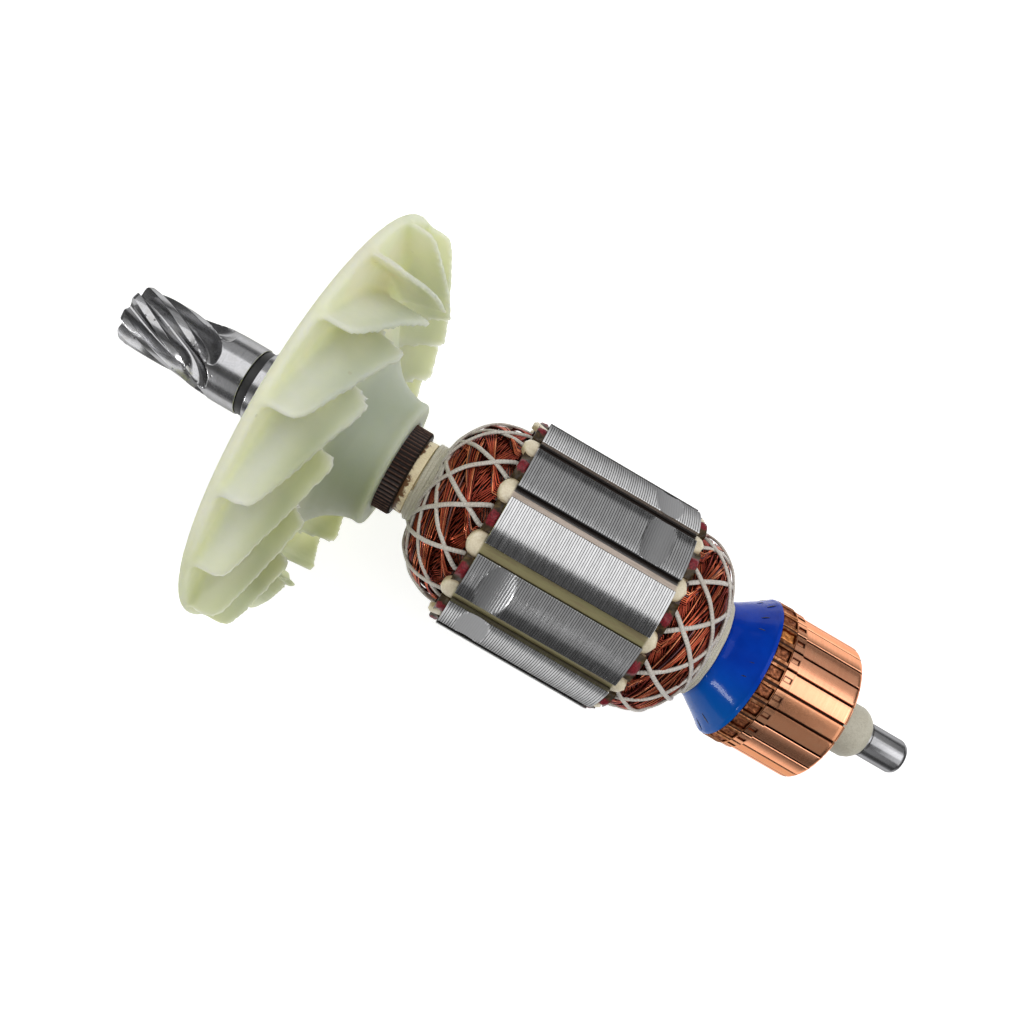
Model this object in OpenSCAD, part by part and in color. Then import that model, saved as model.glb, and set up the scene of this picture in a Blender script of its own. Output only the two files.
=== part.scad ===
// Wound armature of a series-wound (universal) motor: pinion shaft, cooling
// fan, laminated core, lacquered winding with twine lacing, resin cap and
// moulded commutator. Lengths are in millimetres and angles in degrees.
// The shaft lies along X. X = 0 is the middle of the ground bearing seat
// behind the pinion; +X runs from the pinion to the commutator and Z is up.

/* [Shaft] */

// Ground seat behind the pinion, diameter
drive_seat_d = 15.875; // [15.5:0.005:16.1]
// Ground seat behind the pinion, length
drive_seat_len = 5.8; // [5:0.1:5.8]
// Commutator end seat, diameter
comm_seat_d = 8.0; // [6:0.1:8.4]
// Commutator end seat, length
comm_seat_len = 7.7; // [6:0.1:14]

/* [Pinion] */

// Number of teeth
pinion_teeth = 8; // [6:1:10]
// Tip diameter
pinion_tip_d = 13.75; // [13:0.05:14.4]
// Root diameter
pinion_root_d = 9.0; // [7.6:0.1:10]
// Twist of the teeth per millimetre of length
pinion_twist = 4.3; // [0:0.1:5]

/* [Fan] */

// Outer diameter of the back disc
fan_d = 96.9; // [90:0.1:100]
// Number of vanes
vane_count = 17; // [13:1:19]
// Vane thickness
vane_t = 1.2; // [1:0.1:2]
// Thickness of the back disc
disc_t = 2.2; // [1.6:0.1:2.6]

/* [Core] */

// Core diameter
core_d = 50.0; // [49:0.1:52]
// Core length
core_len = 36.85; // [36.85:0.01:36.85]
// Number of slots, each with one wedge
slot_count = 12; // [12:1:12]
// Width of the slot mouth
slot_mouth = 2.6; // [2:0.1:3.2]

/* [Commutator] */

// Number of bars
bar_count = 24; // [24:1:24]
// Diameter of the turned brush track
track_d = 32.4; // [31.6:0.1:33]
// Diameter over the risers
riser_d = 33.6; // [33.2:0.1:34.4]
// Width of the slit between bars
slit_w = 0.45; // [0.3:0.05:0.7]

/* [Twine] */

// Diameter of the lacing twine
twine_d = 1.0; // [0.8:0.1:1.2]

/* [Hidden] */

$fn = 72;

// lengthwise stations
x_tip = -26.2;                      // free end of the pinion
x_seat0 = -drive_seat_len / 2;
x_seat1 = drive_seat_len / 2;
x_ring1 = x_seat1 + 2.0;            // end of the seal ring
x_shoulder1 = 16.2;
x_disc = 17.3;                      // pinion side of the fan disc
x_hub1 = 38.5;                      // commutator side of the fan hub
x_bush1 = 42.4;
x_neck1 = 46.8;                     // end of the twine collar at the neck
x_core0 = 63.05;
x_core1 = x_core0 + core_len;
x_plate0 = 61.0;
x_plate1 = 101.9;
x_cap0 = 117.2;                     // start of the resin cap
x_riser0 = 125.8;
x_riser1 = 129.3;
x_track0 = 131.8;
x_track1 = 146.3;
x_collar1 = 157.3;
x_end0 = 158.0;
x_end1 = x_end0 + comm_seat_len;

seat_r = drive_seat_d / 2;
core_r = core_d / 2;
shaft_r = 6.5;                      // shaft through fan, core and winding
bush_shaft_r = 5.0;                 // shaft inside the commutator
sleeve_r = 7.6;                     // insulating sleeves beside the core
bore_bush_r = 7.0;                  // commutator bush, outer radius
hub_bore_r = 10.15;                 // bore of the fan, round the bush

slot_first = -47.5;                 // angle of the first slot, see polar()
slot_pitch = 360 / slot_count;
bar_first = -53.7;                  // angle of the first bar's middle
bar_pitch = 360 / bar_count;

// angles run from +Z (0) towards -Y (90)
function polar(r, a) = [-r * sin(a), r * cos(a)];

// solid of revolution about X from [x, r] pairs
module lathe(p) {
    rotate([0, 90, 0]) rotate_extrude() polygon([for (q = p) [q[1], q[0]]]);
}

module ring(x0, x1, r_out, r_in) {
    lathe([[x0, r_in], [x1, r_in], [x1, r_out], [x0, r_out]]);
}

// prism along X between x0 and x1 from a YZ outline
module prism(x0, x1, p) {
    translate([x0, 0, 0]) rotate([90, 0, 90]) linear_extrude(height = x1 - x0) polygon(p);
}

// closed skin through rings of points, every ring with the same count
module skin(rings) {
    n = len(rings[0]);
    m = len(rings);
    pts = [for (r = rings) for (q = r) q];
    sides = [for (i = [0:m - 2]) for (j = [0:n - 1])
        let (a = i * n + j, b = i * n + (j + 1) % n, c = (i + 1) * n + (j + 1) % n, d = (i + 1) * n + j)
        for (t = [[a, b, c], [a, c, d]]) t];
    polyhedron(points = pts,
        faces = concat(sides, [[for (j = [n - 1:-1:0]) j]], [[for (j = [0:n - 1]) (m - 1) * n + j]]));
}

// ---------------------------------------------------------------- pinion

tip_r = pinion_tip_d / 2;
root_r = pinion_root_d / 2;
run_x = -12.4;                      // where the grooves begin to run out
run_r = 13.0;                       // cutter radius of the run-out
groove_w = 1.7;                     // half width of a groove at the tips
tooth_step = 360 / pinion_teeth;

function mix(a, b, t) = a + (b - a) * t;
function clamp01(t) = min(1, max(0, t));
function ease(t) = let (s = clamp01(t)) s * s * (3 - 2 * s);

// radius of the turned blank
function blank_r(x) =
    let (r = mix(tip_r, seat_r - 0.03, ease((x + 12.6) / 8.2)), d = x - x_tip)
    d < 1.1 ? r - 1.1 + sqrt(max(0, 1.21 - (1.1 - d) * (1.1 - d))) : r;

// radius of the groove floor
function floor_r(x) = x < run_x ? root_r
    : root_r + run_r - sqrt(max(0.01, run_r * run_r - (x - run_x) * (x - run_x)));

function groove_half(x) = groove_w + 1.15 * ease((x - run_x) / 8.5);

// angle of a tooth crown at station x
function crown_a(x) = 1.5 + pinion_twist * (x + 18.2);

function pinion_r(x, a) =
    let (u = (a - crown_a(x)) / tooth_step,
         v = abs(u - floor(u) - 0.5) * tooth_step,       // from the groove middle
         s = v * PI / 180 * 6.3 / groove_half(x),
         g = floor_r(x) + 2.45 * pow(s, 2.7))
    min(blank_r(x), g);

pinion_x = [x_tip, x_tip + 0.25, x_tip + 0.7, for (x = [-25:1.05:-3.2]) x, -2.6];
pinion_n = 96;

module pinion() {
    skin([for (x = pinion_x) [for (j = [0:pinion_n - 1])
        let (a = -360 * j / pinion_n, q = polar(x > -3 ? seat_r - 0.03 : pinion_r(x, a), a)) [x, q[0], q[1]]]]);
}

// ------------------------------------------------------------------- fan

vane_r0 = 34.25;
vane_r1 = 48.0;
vane_a = 3.1;                       // tip angle of the first vane

// angle behind the tip and edge station along a vane, t = 0 at the tip
function vane_lag(t) = 9.6 * t + 21.7 * t * t;
function vane_edge(t) = 25.3 + 5.6 * t + 1.45 * t * t;
function vane_pt(t) = polar(vane_r1 + (vane_r0 - vane_r1) * t, -vane_lag(t));
function unit(v) = v / norm(v);
function vane_off(t, d) =
    let (g = unit(vane_pt(t + 0.01) - vane_pt(t - 0.01))) vane_pt(t) + d * [g[1], -g[0]];

vane_t_list = [for (i = [-1:14]) i / 11];
vane_outline = concat(
    [for (t = vane_t_list) vane_pt(t)],
    [for (i = [len(vane_t_list) - 1:-1:0]) vane_off(vane_t_list[i], -vane_t)]);

module vanes() {
    intersection() {
        union() {
            for (k = [0:vane_count - 1])
                rotate([vane_a + k * 360 / vane_count, 0, 0])
                    prism(x_disc + 1.0, 34, vane_outline);
        }
        lathe(concat([[x_disc + 0.5, 48.1], [22.9, 48.1], [24.6, 47.7], [25.6, 46.9]],
            [for (t = [0.206:0.206:0.83]) [vane_edge(t), vane_r1 + (vane_r0 - vane_r1) * t]],
            // the inner ends slant in towards the disc
            [[32.5, 33.97], [20.0, 30.9], [x_disc + 0.5, 30.6]]));
    }
}

// ------------------------------------------------------------- core slots

// half outline of a slot: [radius, half width], from the mouth inwards
slot_half = [[core_r + 1, slot_mouth / 2], [23.6, slot_mouth / 2], [23.25, 2.95], [22.1, 3.05],
    [18.0, 2.15], [14.2, 1.25], [13.5, 0.7]];

function flank(p, s, d) = [for (q = p) [s * (q[1] - d), q[0] + 0]];
// outline in the YZ plane for a slot centred on +Z; d insets the sides
function slot_shape(p, d) = concat(flank(p, 1, d), [for (i = [len(p) - 1:-1:0]) [-(p[i][1] - d), p[i][0]]]);

liner_out = [[22.1, 3.05], [18.0, 2.15], [14.2, 1.25], [13.5, 0.7]];
liner_in = [[22.1, 2.8], [18.0, 1.9], [14.4, 1.05], [13.8, 0.6]];
coil_side = [[21.9, 2.72], [18.0, 1.86], [14.4, 1.01], [13.84, 0.56]];

module at_slot(k) {
    rotate([slot_first + k * slot_pitch, 0, 0]) children();
}

module core_slots(x0, x1) {
    for (k = [0:slot_count - 1]) at_slot(k) prism(x0, x1, slot_shape(slot_half, 0));
}

// the end plates are open over the whole width of the wedge
plate_half = [[core_r + 1, 2.85], [23.3, 2.85], [22.1, 3.05], [18.0, 2.15], [14.2, 1.25], [13.5, 0.7]];

module plate_slots(x0, x1) {
    for (k = [0:slot_count - 1]) at_slot(k) prism(x0, x1, slot_shape(plate_half, 0));
}

// balance cut: x middle, angle of the tooth, depth, width
module balance_cut(x, a, depth, width) {
    r = (width * width / 4 + depth * depth) / (2 * depth);
    rotate([a, 0, 0]) translate([x, 0, core_r - depth + r])
        rotate([90, 0, 0]) cylinder(r = r, h = 20, center = true);
}

// --------------------------------------------------------------- winding

// outline of the winding heads: [x, r]
head_l = [[48.3, 9.2], [49.5, 11.2], [50.9, 13.9], [53.6, 17.0], [57.1, 18.6], [59.5, 19.2], [x_plate0, 19.35]];
head_r = [[113.3, 11.9], [112.7, 14.0], [110.6, 16.9], [107.4, 19.1], [104.4, 19.6], [x_plate1, 19.55]];

// point along an outline, t from 0 to the last index
function along(p, t) = let (i = max(0, min(len(p) - 2, floor(t))), f = t - i) p[i] + (p[i + 1] - p[i]) * f;

head_n = 72;

// coil bundles stand out as lobes that lean round the shaft
module head(p, lean, amp, sub) {
    m = (len(p) - 1) * sub;
    skin([for (i = [0:m])
        let (q = along(p, i / sub), f = sin(180 * i / m))
        [for (j = [0:head_n - 1])
            let (a = -360 * j / head_n,
                 r = q[1] - amp * f * (0.5 - 0.5 * cos(slot_count * (a - slot_first) + lean * i / m)),
                 y = polar(r, a))
            [q[0], y[0], y[1]]]]);
}

// ---------------------------------------------------------------- lacing

// The twine runs over each head along the shortest line between the neck and
// a tooth, loops there and runs back across the strand that came out. Strands
// that lean one way lie on the head; those that lean the other way lie on them.
strand_n = 10;
strand_c = 8.6;                     // shortest distance of a strand from the axis

function lace_q(p, t, off) =
    let (a = along(p, max(0, t - 0.05)), b = along(p, min(len(p) - 1, t + 0.05)), g = unit(b - a),
         s = b[0] > a[0] ? 1 : -1, q = along(p, t))
    [q[0] - s * g[1] * off, q[1] + s * g[0] * off];

function lace_t(t0, t1, i) = mix(t1, t0, i / strand_n);
// turn of a strand round the shaft, summed from the tooth inwards
function lace_turn(p, t0, t1) =
    [for (i = 0, s = 0; i <= strand_n;
        s = s + (let (a = lace_q(p, lace_t(t0, t1, i), 0.6), b = lace_q(p, lace_t(t0, t1, i + 1), 0.6), r = (a[1] + b[1]) / 2)
            180 / PI * strand_c * norm(b - a) / (r * sqrt(max(4, r * r - strand_c * strand_c)))),
        i = i + 1) s];

function on_head(p, t, off, a) = let (q = lace_q(p, t, off), y = polar(q[1], a)) [q[0], y[0], y[1]];

function lace_loop(p, t0, t1, r) =
    let (w = lace_turn(p, t0, t1), lo = r + 0.17, hi = 3 * r + 0.34)
    concat(
        [for (i = [strand_n:-1:1]) on_head(p, lace_t(t0, t1, i), lo, -6 + w[i])],
        [on_head(p, t1, lo, -6), on_head(p, t1 + 0.22, mix(lo, hi, 0.3), -3.4), on_head(p, t1 + 0.28, mix(lo, hi, 0.5), 0),
         on_head(p, t1 + 0.22, mix(lo, hi, 0.7), 3.4), on_head(p, t1, hi, 6)],
        [for (i = [1:strand_n]) on_head(p, lace_t(t0, t1, i), hi, 6 - w[i])]);

module strand(path, r, n) {
    m = len(path);
    skin([for (i = [0:m - 1])
        let (c = path[i], g = unit(path[min(m - 1, i + 1)] - path[max(0, i - 1)]),
             s = unit(cross(g, [0, c[1], c[2]])), u = cross(s, g))
        [for (j = [0:n - 1]) c + r * (cos(360 * j / n) * s + sin(360 * j / n) * u)]]);
}

module lacing(p, t0, t1) {
    for (k = [0:slot_count - 1])
        rotate([slot_first + (k + 0.5) * slot_pitch, 0, 0])
            strand(lace_loop(p, t0, t1, twine_d / 2), twine_d / 2, 6);
}

// ------------------------------------------------------------ commutator

// wedge of one bar with parallel slits beside it
module sector(x0, x1, gap) {
    h = bar_pitch / 2;
    c = gap / 2 / sin(h);
    prism(x0, x1, [polar(c, 0), polar(c, 0) + polar(24, h), polar(c, 0) + polar(24, -h)]);
}

module bar(k) {
    color("peru")
    rotate([bar_first + k * bar_pitch, 0, 0])
    difference() {
        intersection() {
            lathe([[x_riser0, 10.5], [145.8, 10.5], [x_track1, 11.2], [x_track1, track_d / 2 - 1.3],
                [145.9, track_d / 2 - 0.5], [145.1, track_d / 2], [x_track0, track_d / 2],
                [x_track0, riser_d / 2 - 0.25], [x_riser1, riser_d / 2 - 0.25], [x_riser1, riser_d / 2],
                [x_riser0, riser_d / 2]]);
            sector(x_riser0 - 1, x_track1 + 1, slit_w);
        }
        // wire slot in the riser
        translate([x_riser0 - 1, -1.1, 13.4]) cube([x_riser1 - x_riser0 + 0.8, 2.2, 6]);
        // small keying notch behind the brush track
        translate([x_riser1 + 0.45, -0.35, riser_d / 2 - 0.8]) cube([1.6, 0.7, 2]);
    }
}

// slot wedge k, with rounded ends that stand out of the core
module wedge(k) {
    color("wheat")
    at_slot(k)
    intersection() {
        prism(59.7, 102.35, [[-2.75, 22.12], [2.75, 22.12], [2.65, 23.2], [1.25, 23.45], [-1.25, 23.45], [-2.65, 23.2]]);
        translate([0, 0, 10]) linear_extrude(height = 20)
            polygon(concat([for (i = [0:8]) let (a = 90 + i * 22.5) [62.4 + 2.7 * cos(a), 2.7 * sin(a) * 1.02]],
                [for (i = [0:8]) let (a = 270 + i * 22.5) [99.65 + 2.7 * cos(a), 2.7 * sin(a) * 1.02]]));
    }
}

module shaft() {
    color("silver")
    union() {
        pinion();
        lathe([[x_seat0, 0], [x_seat0, seat_r], [x_seat1, seat_r], [x_seat1, 6.6], [x_ring1, 6.6],
            [x_ring1, 8.1], [x_ring1 + 0.2, 8.25], [x_shoulder1, 8.25], [x_shoulder1, shaft_r], [121.0, shaft_r],
            [121.0, bush_shaft_r], [x_track1, bush_shaft_r], [x_track1, comm_seat_d / 2],
            [x_collar1 + 0.15, comm_seat_d / 2], [x_collar1 + 0.15, comm_seat_d / 2 - 0.3],
            [x_end0, comm_seat_d / 2 - 0.3], [x_end0, comm_seat_d / 2], [x_end1, comm_seat_d / 2],
            [x_end1 + 0.7, comm_seat_d / 2 - 0.25], [x_end1 + 1.3, comm_seat_d / 2 - 0.75],
            [x_end1 + 1.5, comm_seat_d / 2 - 1.4], [x_end1 + 1.5, 0]]);
    }
}

module seal_ring() {
    color("dimgray")
    // its top lies a little below the bearing seat
    lathe([[x_seat1, 6.6], [x_ring1, 6.6], [x_ring1, seat_r - 0.5], [x_ring1 - 0.25, seat_r - 0.3],
        [x_seat1 + 0.25, seat_r - 0.3], [x_seat1, seat_r - 0.5]]);
}

module fan() {
    color("palegoldenrod")
    difference() {
        union() {
            lathe([[x_disc, 0], [x_disc, fan_d / 2 - 0.7], [x_disc + 0.25, fan_d / 2 - 0.2], [x_disc + 0.8, fan_d / 2],
                [x_disc + disc_t - 0.7, fan_d / 2], [x_disc + disc_t - 0.2, fan_d / 2 - 0.2],
                [x_disc + disc_t, fan_d / 2 - 0.7], [x_disc + disc_t, 37.6], [x_disc + disc_t + 0.6, 34.6],
                [21.9, 30.0], [24.6, 24.6], [28.1, 19.6],
                [30.2, 17.4], [32.9, 15.8], [35.0, 15.1], [37.0, 14.7], [37.1, 15.0], [38.2, 15.0],
                [x_hub1, 14.7], [x_hub1, 0]]);
            vanes();
        }
        ring(x_disc - 1, x_hub1 + 1, hub_bore_r, 0);
    }
}

module fan_bush() {
    color("saddlebrown")
    difference() {
        prism(x_shoulder1 + 0.05, x_bush1, [for (i = [0:119]) polar(i % 2 == 0 ? 10.1 : 9.75, i * 3)]);
        ring(x_shoulder1 - 1, x_bush1 + 1, shaft_r, 0);
    }
}

module drive_end_sleeve() {
    color("tan")
    lathe([[x_bush1, shaft_r], [x_bush1, 8.45], [x_bush1 + 0.2, 8.65], [x_bush1 + 2.1, 8.65], [x_bush1 + 2.1, sleeve_r],
        [x_plate0, sleeve_r], [x_plate0, shaft_r]]);
}

module drive_end_neck_cord() {
    color("antiquewhite")
    for (i = [0:2])
        rotate([0, 90, 0]) translate([0, 0, x_bush1 + 2.1 + 0.58 + i * 1.14])
            rotate_extrude() translate([sleeve_r + 0.57, 0]) circle(r = 0.565, $fn = 24);
}

module lamination_stack() {
    color("lightslategray")
    difference() {
        ring(x_core0, x_core1, core_r, shaft_r);
        core_slots(x_core0 - 1, x_core1 + 1);
        balance_cut(69.7, 27.5, 0.75, 7.1);
        balance_cut(69.7, 57.5, 0.75, 7.1);
        balance_cut(92.5, -32.5, 0.75, 6.6);
        balance_cut(92.5, -62.5, 0.75, 6.6);
    }
}

module drive_end_plate() {
    color("firebrick")
    difference() {
        ring(x_plate0, x_core0, 24.4, shaft_r);
        plate_slots(x_plate0 - 1, x_core0 + 1);
    }
}

module commutator_end_plate() {
    color("firebrick")
    difference() {
        ring(x_core1, x_plate1, 24.4, shaft_r);
        plate_slots(x_core1 - 1, x_plate1 + 1);
    }
}

module slot_liners() {
    color("burlywood")
    for (k = [0:slot_count - 1]) at_slot(k)
        difference() {
            prism(x_plate0 + 0.1, x_plate1 - 0.1, slot_shape(liner_out, 0.0));
            prism(x_plate0 - 1, x_plate1 + 1, concat(flank(liner_in, 1, 0),
                [for (i = [len(liner_in) - 1:-1:0]) [-liner_in[i][1], liner_in[i][0]]],
                [[-liner_in[0][1], 24], [liner_in[0][1], 24]]));
        }
}

module winding() {
    color("sienna")
    union() {
        difference() {
            head(head_l, 60, 1.1, 2);
            ring(40, 70, sleeve_r, 0);
        }
        difference() {
            head([for (i = [len(head_r) - 1:-1:0]) head_r[i]], -60, 1.1, 2);
            ring(95, 125, sleeve_r, 0);
        }
        for (k = [0:slot_count - 1]) at_slot(k)
            prism(60.6, 102.3, slot_shape(coil_side, 0));
    }
}

module drive_end_lacing() {
    color("linen")
    lacing(head_l, 0.12, 5.2);
}

module commutator_end_lacing() {
    color("linen")
    lacing(head_r, 0.25, 4.4);
}

module commutator_end_sleeve() {
    color("tan")
    ring(x_plate1, x_cap0, sleeve_r, shaft_r);
}

module commutator_neck_cord() {
    color("linen")
    for (i = [-1:1]) for (j = [0:3])
        rotate([0, 90, 0]) translate([0, 0, 115.7 + i * 0.98])
            rotate_extrude() translate([sleeve_r + 0.49 + j * 0.98, 0]) circle(r = 0.485, $fn = 24);
}

module resin_cap() {
    color("mediumblue")
    difference() {
        lathe([[x_cap0, shaft_r], [x_cap0, 11.2], [117.6, 11.7], [119.0, 12.3], [120.8, 13.5], [122.9, 14.9],
            [124.4, 16.0], [125.1, 16.75], [x_riser0, 16.75], [x_riser0, bore_bush_r], [121.0, bore_bush_r],
            [121.0, shaft_r]]);
    }
}

module commutator_bush() {
    color("gray")
    ring(121.0, x_track1, bore_bush_r, bush_shaft_r);
}

module commutator_core() {
    color("saddlebrown")
    ring(x_riser0, 145.8, 10.5, bore_bush_r);
}

module mica_separators() {
    color("darkkhaki")
    for (k = [0:bar_count - 1])
        rotate([bar_first + (k + 0.5) * bar_pitch, 0, 0]) {
            translate([x_riser0, -slit_w / 2, 10.52]) cube([x_riser1 - x_riser0, slit_w, 6.1]);
            translate([x_riser1 - 0.01, -slit_w / 2, 10.52]) cube([16.4, slit_w, 4.6]);
        }
}

module riser_wires() {
    color("sienna")
    for (k = [0:bar_count - 1])
        rotate([bar_first + k * bar_pitch, 0, 0])
            intersection() {
                translate([x_riser0 + 0.01, -1.1, 13.4]) cube([x_riser1 - x_riser0 - 0.21, 2.2, 6]);
                ring(x_riser0 - 1, x_riser1 + 1, riser_d / 2 - 0.1, 10);
            }
}

module end_collar() {
    color("lightgray")
    lathe([[x_track1, comm_seat_d / 2], [x_track1, 6.05], [154.9, 6.05], [156.0, 5.6], [156.9, 4.9],
        [x_collar1, 4.45], [x_collar1, comm_seat_d / 2]]);
}

module slot_wedge_01() { wedge(0); }
module slot_wedge_02() { wedge(1); }
module slot_wedge_03() { wedge(2); }
module slot_wedge_04() { wedge(3); }
module slot_wedge_05() { wedge(4); }
module slot_wedge_06() { wedge(5); }
module slot_wedge_07() { wedge(6); }
module slot_wedge_08() { wedge(7); }
module slot_wedge_09() { wedge(8); }
module slot_wedge_10() { wedge(9); }
module slot_wedge_11() { wedge(10); }
module slot_wedge_12() { wedge(11); }

module commutator_bar_01() { bar(0); }
module commutator_bar_02() { bar(1); }
module commutator_bar_03() { bar(2); }
module commutator_bar_04() { bar(3); }
module commutator_bar_05() { bar(4); }
module commutator_bar_06() { bar(5); }
module commutator_bar_07() { bar(6); }
module commutator_bar_08() { bar(7); }
module commutator_bar_09() { bar(8); }
module commutator_bar_10() { bar(9); }
module commutator_bar_11() { bar(10); }
module commutator_bar_12() { bar(11); }
module commutator_bar_13() { bar(12); }
module commutator_bar_14() { bar(13); }
module commutator_bar_15() { bar(14); }
module commutator_bar_16() { bar(15); }
module commutator_bar_17() { bar(16); }
module commutator_bar_18() { bar(17); }
module commutator_bar_19() { bar(18); }
module commutator_bar_20() { bar(19); }
module commutator_bar_21() { bar(20); }
module commutator_bar_22() { bar(21); }
module commutator_bar_23() { bar(22); }
module commutator_bar_24() { bar(23); }

shaft();
seal_ring();
fan();
fan_bush();
drive_end_sleeve();
drive_end_neck_cord();
lamination_stack();
drive_end_plate();
commutator_end_plate();
slot_liners();
slot_wedge_01();
slot_wedge_02();
slot_wedge_03();
slot_wedge_04();
slot_wedge_05();
slot_wedge_06();
slot_wedge_07();
slot_wedge_08();
slot_wedge_09();
slot_wedge_10();
slot_wedge_11();
slot_wedge_12();
winding();
drive_end_lacing();
commutator_end_lacing();
commutator_end_sleeve();
commutator_neck_cord();
resin_cap();
commutator_bush();
commutator_core();
commutator_bar_01();
commutator_bar_02();
commutator_bar_03();
commutator_bar_04();
commutator_bar_05();
commutator_bar_06();
commutator_bar_07();
commutator_bar_08();
commutator_bar_09();
commutator_bar_10();
commutator_bar_11();
commutator_bar_12();
commutator_bar_13();
commutator_bar_14();
commutator_bar_15();
commutator_bar_16();
commutator_bar_17();
commutator_bar_18();
commutator_bar_19();
commutator_bar_20();
commutator_bar_21();
commutator_bar_22();
commutator_bar_23();
commutator_bar_24();
mica_separators();
riser_wires();
end_collar();
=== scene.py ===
"""Visual model of a wound motor armature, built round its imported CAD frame.

Row frame: the shaft lies along X, the middle of the ground bearing seat is the
origin, +X runs from the pinion to the commutator and Z is up. Shapes below are
worked out in millimetres and written to the meshes in metres.
"""

import math

import bmesh
import bpy
import numpy as np
from mathutils import Matrix
from mathutils.geometry import tessellate_polygon


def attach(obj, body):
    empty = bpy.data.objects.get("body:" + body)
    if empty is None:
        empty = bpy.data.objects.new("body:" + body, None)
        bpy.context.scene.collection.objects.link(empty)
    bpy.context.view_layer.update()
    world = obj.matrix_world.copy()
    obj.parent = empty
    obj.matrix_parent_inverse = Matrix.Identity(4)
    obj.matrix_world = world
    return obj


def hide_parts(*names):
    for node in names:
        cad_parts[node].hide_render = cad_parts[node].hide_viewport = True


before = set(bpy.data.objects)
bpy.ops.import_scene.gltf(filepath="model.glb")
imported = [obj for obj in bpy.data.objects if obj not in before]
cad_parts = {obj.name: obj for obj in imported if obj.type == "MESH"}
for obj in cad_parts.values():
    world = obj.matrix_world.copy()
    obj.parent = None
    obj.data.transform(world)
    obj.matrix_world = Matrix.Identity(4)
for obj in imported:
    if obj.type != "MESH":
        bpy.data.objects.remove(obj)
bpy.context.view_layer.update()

MM = 0.001
PI = math.pi
scene = bpy.context.scene


# ---------------------------------------------------------------- mesh tools

def polar(r, a):
    """y and z of a point at radius r and a degrees from +Z towards -Y."""
    a = np.radians(a)
    return -r * np.sin(a), r * np.cos(a)


def ring_points(x, r, a):
    y, z = polar(r, a)
    return np.stack(np.broadcast_arrays(np.asarray(x, float), y, z), -1)


def smooth01(t):
    t = np.clip(t, 0.0, 1.0)
    return t * t * (3 - 2 * t)


def mix(a, b, t):
    return a + (b - a) * t


def wobble(t, seed, waves=4, start=1.0):
    """Smooth random curve of t, about -1 to 1."""
    rg = np.random.default_rng(seed)
    out = np.zeros_like(np.asarray(t, float))
    for i in range(waves):
        out += np.sin(np.asarray(t) * start * (i + 1) * rg.uniform(0.8, 1.3) + rg.uniform(0, 2 * PI)) / (i + 1)
    return out / 1.6


class Shape:
    """Collects points and faces, in millimetres."""

    def __init__(self):
        self.v, self.f, self.n, self.values = [], [], 0, {}

    def add(self, points, faces, **values):
        points = np.asarray(points, float).reshape(-1, 3)
        base = self.n
        self.v.append(points)
        self.n += len(points)
        for f in faces:
            if isinstance(f, np.ndarray):
                self.f.extend((f + base).tolist())
            else:
                self.f.append([i + base for i in f])
        for k in set(values) | set(self.values):
            got = values.get(k, 0.0)
            self.values.setdefault(k, [np.zeros(base)])
            self.values[k].append(np.broadcast_to(np.asarray(got, float).reshape(-1) if np.ndim(got) else got, (len(points),)))
        return base

    def grid(self, p, around=True, caps=True, along=False, flip=False, **values):
        """p is (rows, columns, 3). Rows close on themselves if around is set."""
        n, m = p.shape[:2]
        i = np.arange(n if along else n - 1)[:, None]
        j = np.arange(m if around else m - 1)[None, :]
        i1, j1 = (i + 1) % n, (j + 1) % m
        q = np.stack([i * m + j, i * m + j1, i1 * m + j1, i1 * m + j], -1).reshape(-1, 4)
        if flip:
            q = q[:, ::-1]
        faces = [q]
        if caps and around and not along:
            a, b = list(range(m))[::-1], list(range((n - 1) * m, n * m))
            if flip:
                a, b = a[::-1], b[::-1]
            faces += [a, b]
        values = {k: (np.asarray(v).reshape(-1) if np.ndim(v) else v) for k, v in values.items()}
        return self.add(p.reshape(-1, 3), faces, **values)


def finish_piece(name, shape, material, nodes=(), angle=40, bevel=None):
    """Makes a piece from a Shape; it rides on the root body."""
    mesh = bpy.data.meshes.new(name)
    mesh.from_pydata((np.vstack(shape.v) * MM).tolist(), [], shape.f)
    mesh.update()
    bm = bmesh.new()
    bm.from_mesh(mesh)
    bmesh.ops.recalc_face_normals(bm, faces=bm.faces[:])  # every shell faces outwards
    bm.to_mesh(mesh)
    bm.free()
    for k, parts in shape.values.items():
        at = mesh.attributes.new(k, "FLOAT", "POINT")
        at.data.foreach_set("value", np.concatenate(parts).astype(np.float32))
    mesh.polygons.foreach_set("use_smooth", np.ones(len(mesh.polygons), bool))
    if angle:
        mesh.set_sharp_from_angle(angle=math.radians(angle))
    ob = bpy.data.objects.new(name, mesh)
    scene.collection.objects.link(ob)
    for m in material if isinstance(material, (list, tuple)) else [material]:
        mesh.materials.append(m)
    if bevel:
        mod = ob.modifiers.new("edges", "BEVEL")
        mod.width, mod.segments, mod.limit_method, mod.angle_limit = bevel * MM, 2, "ANGLE", math.radians(35)
        mod.harden_normals = False
    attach(ob, "root")
    if nodes:
        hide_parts(*nodes)
    return ob


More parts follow.
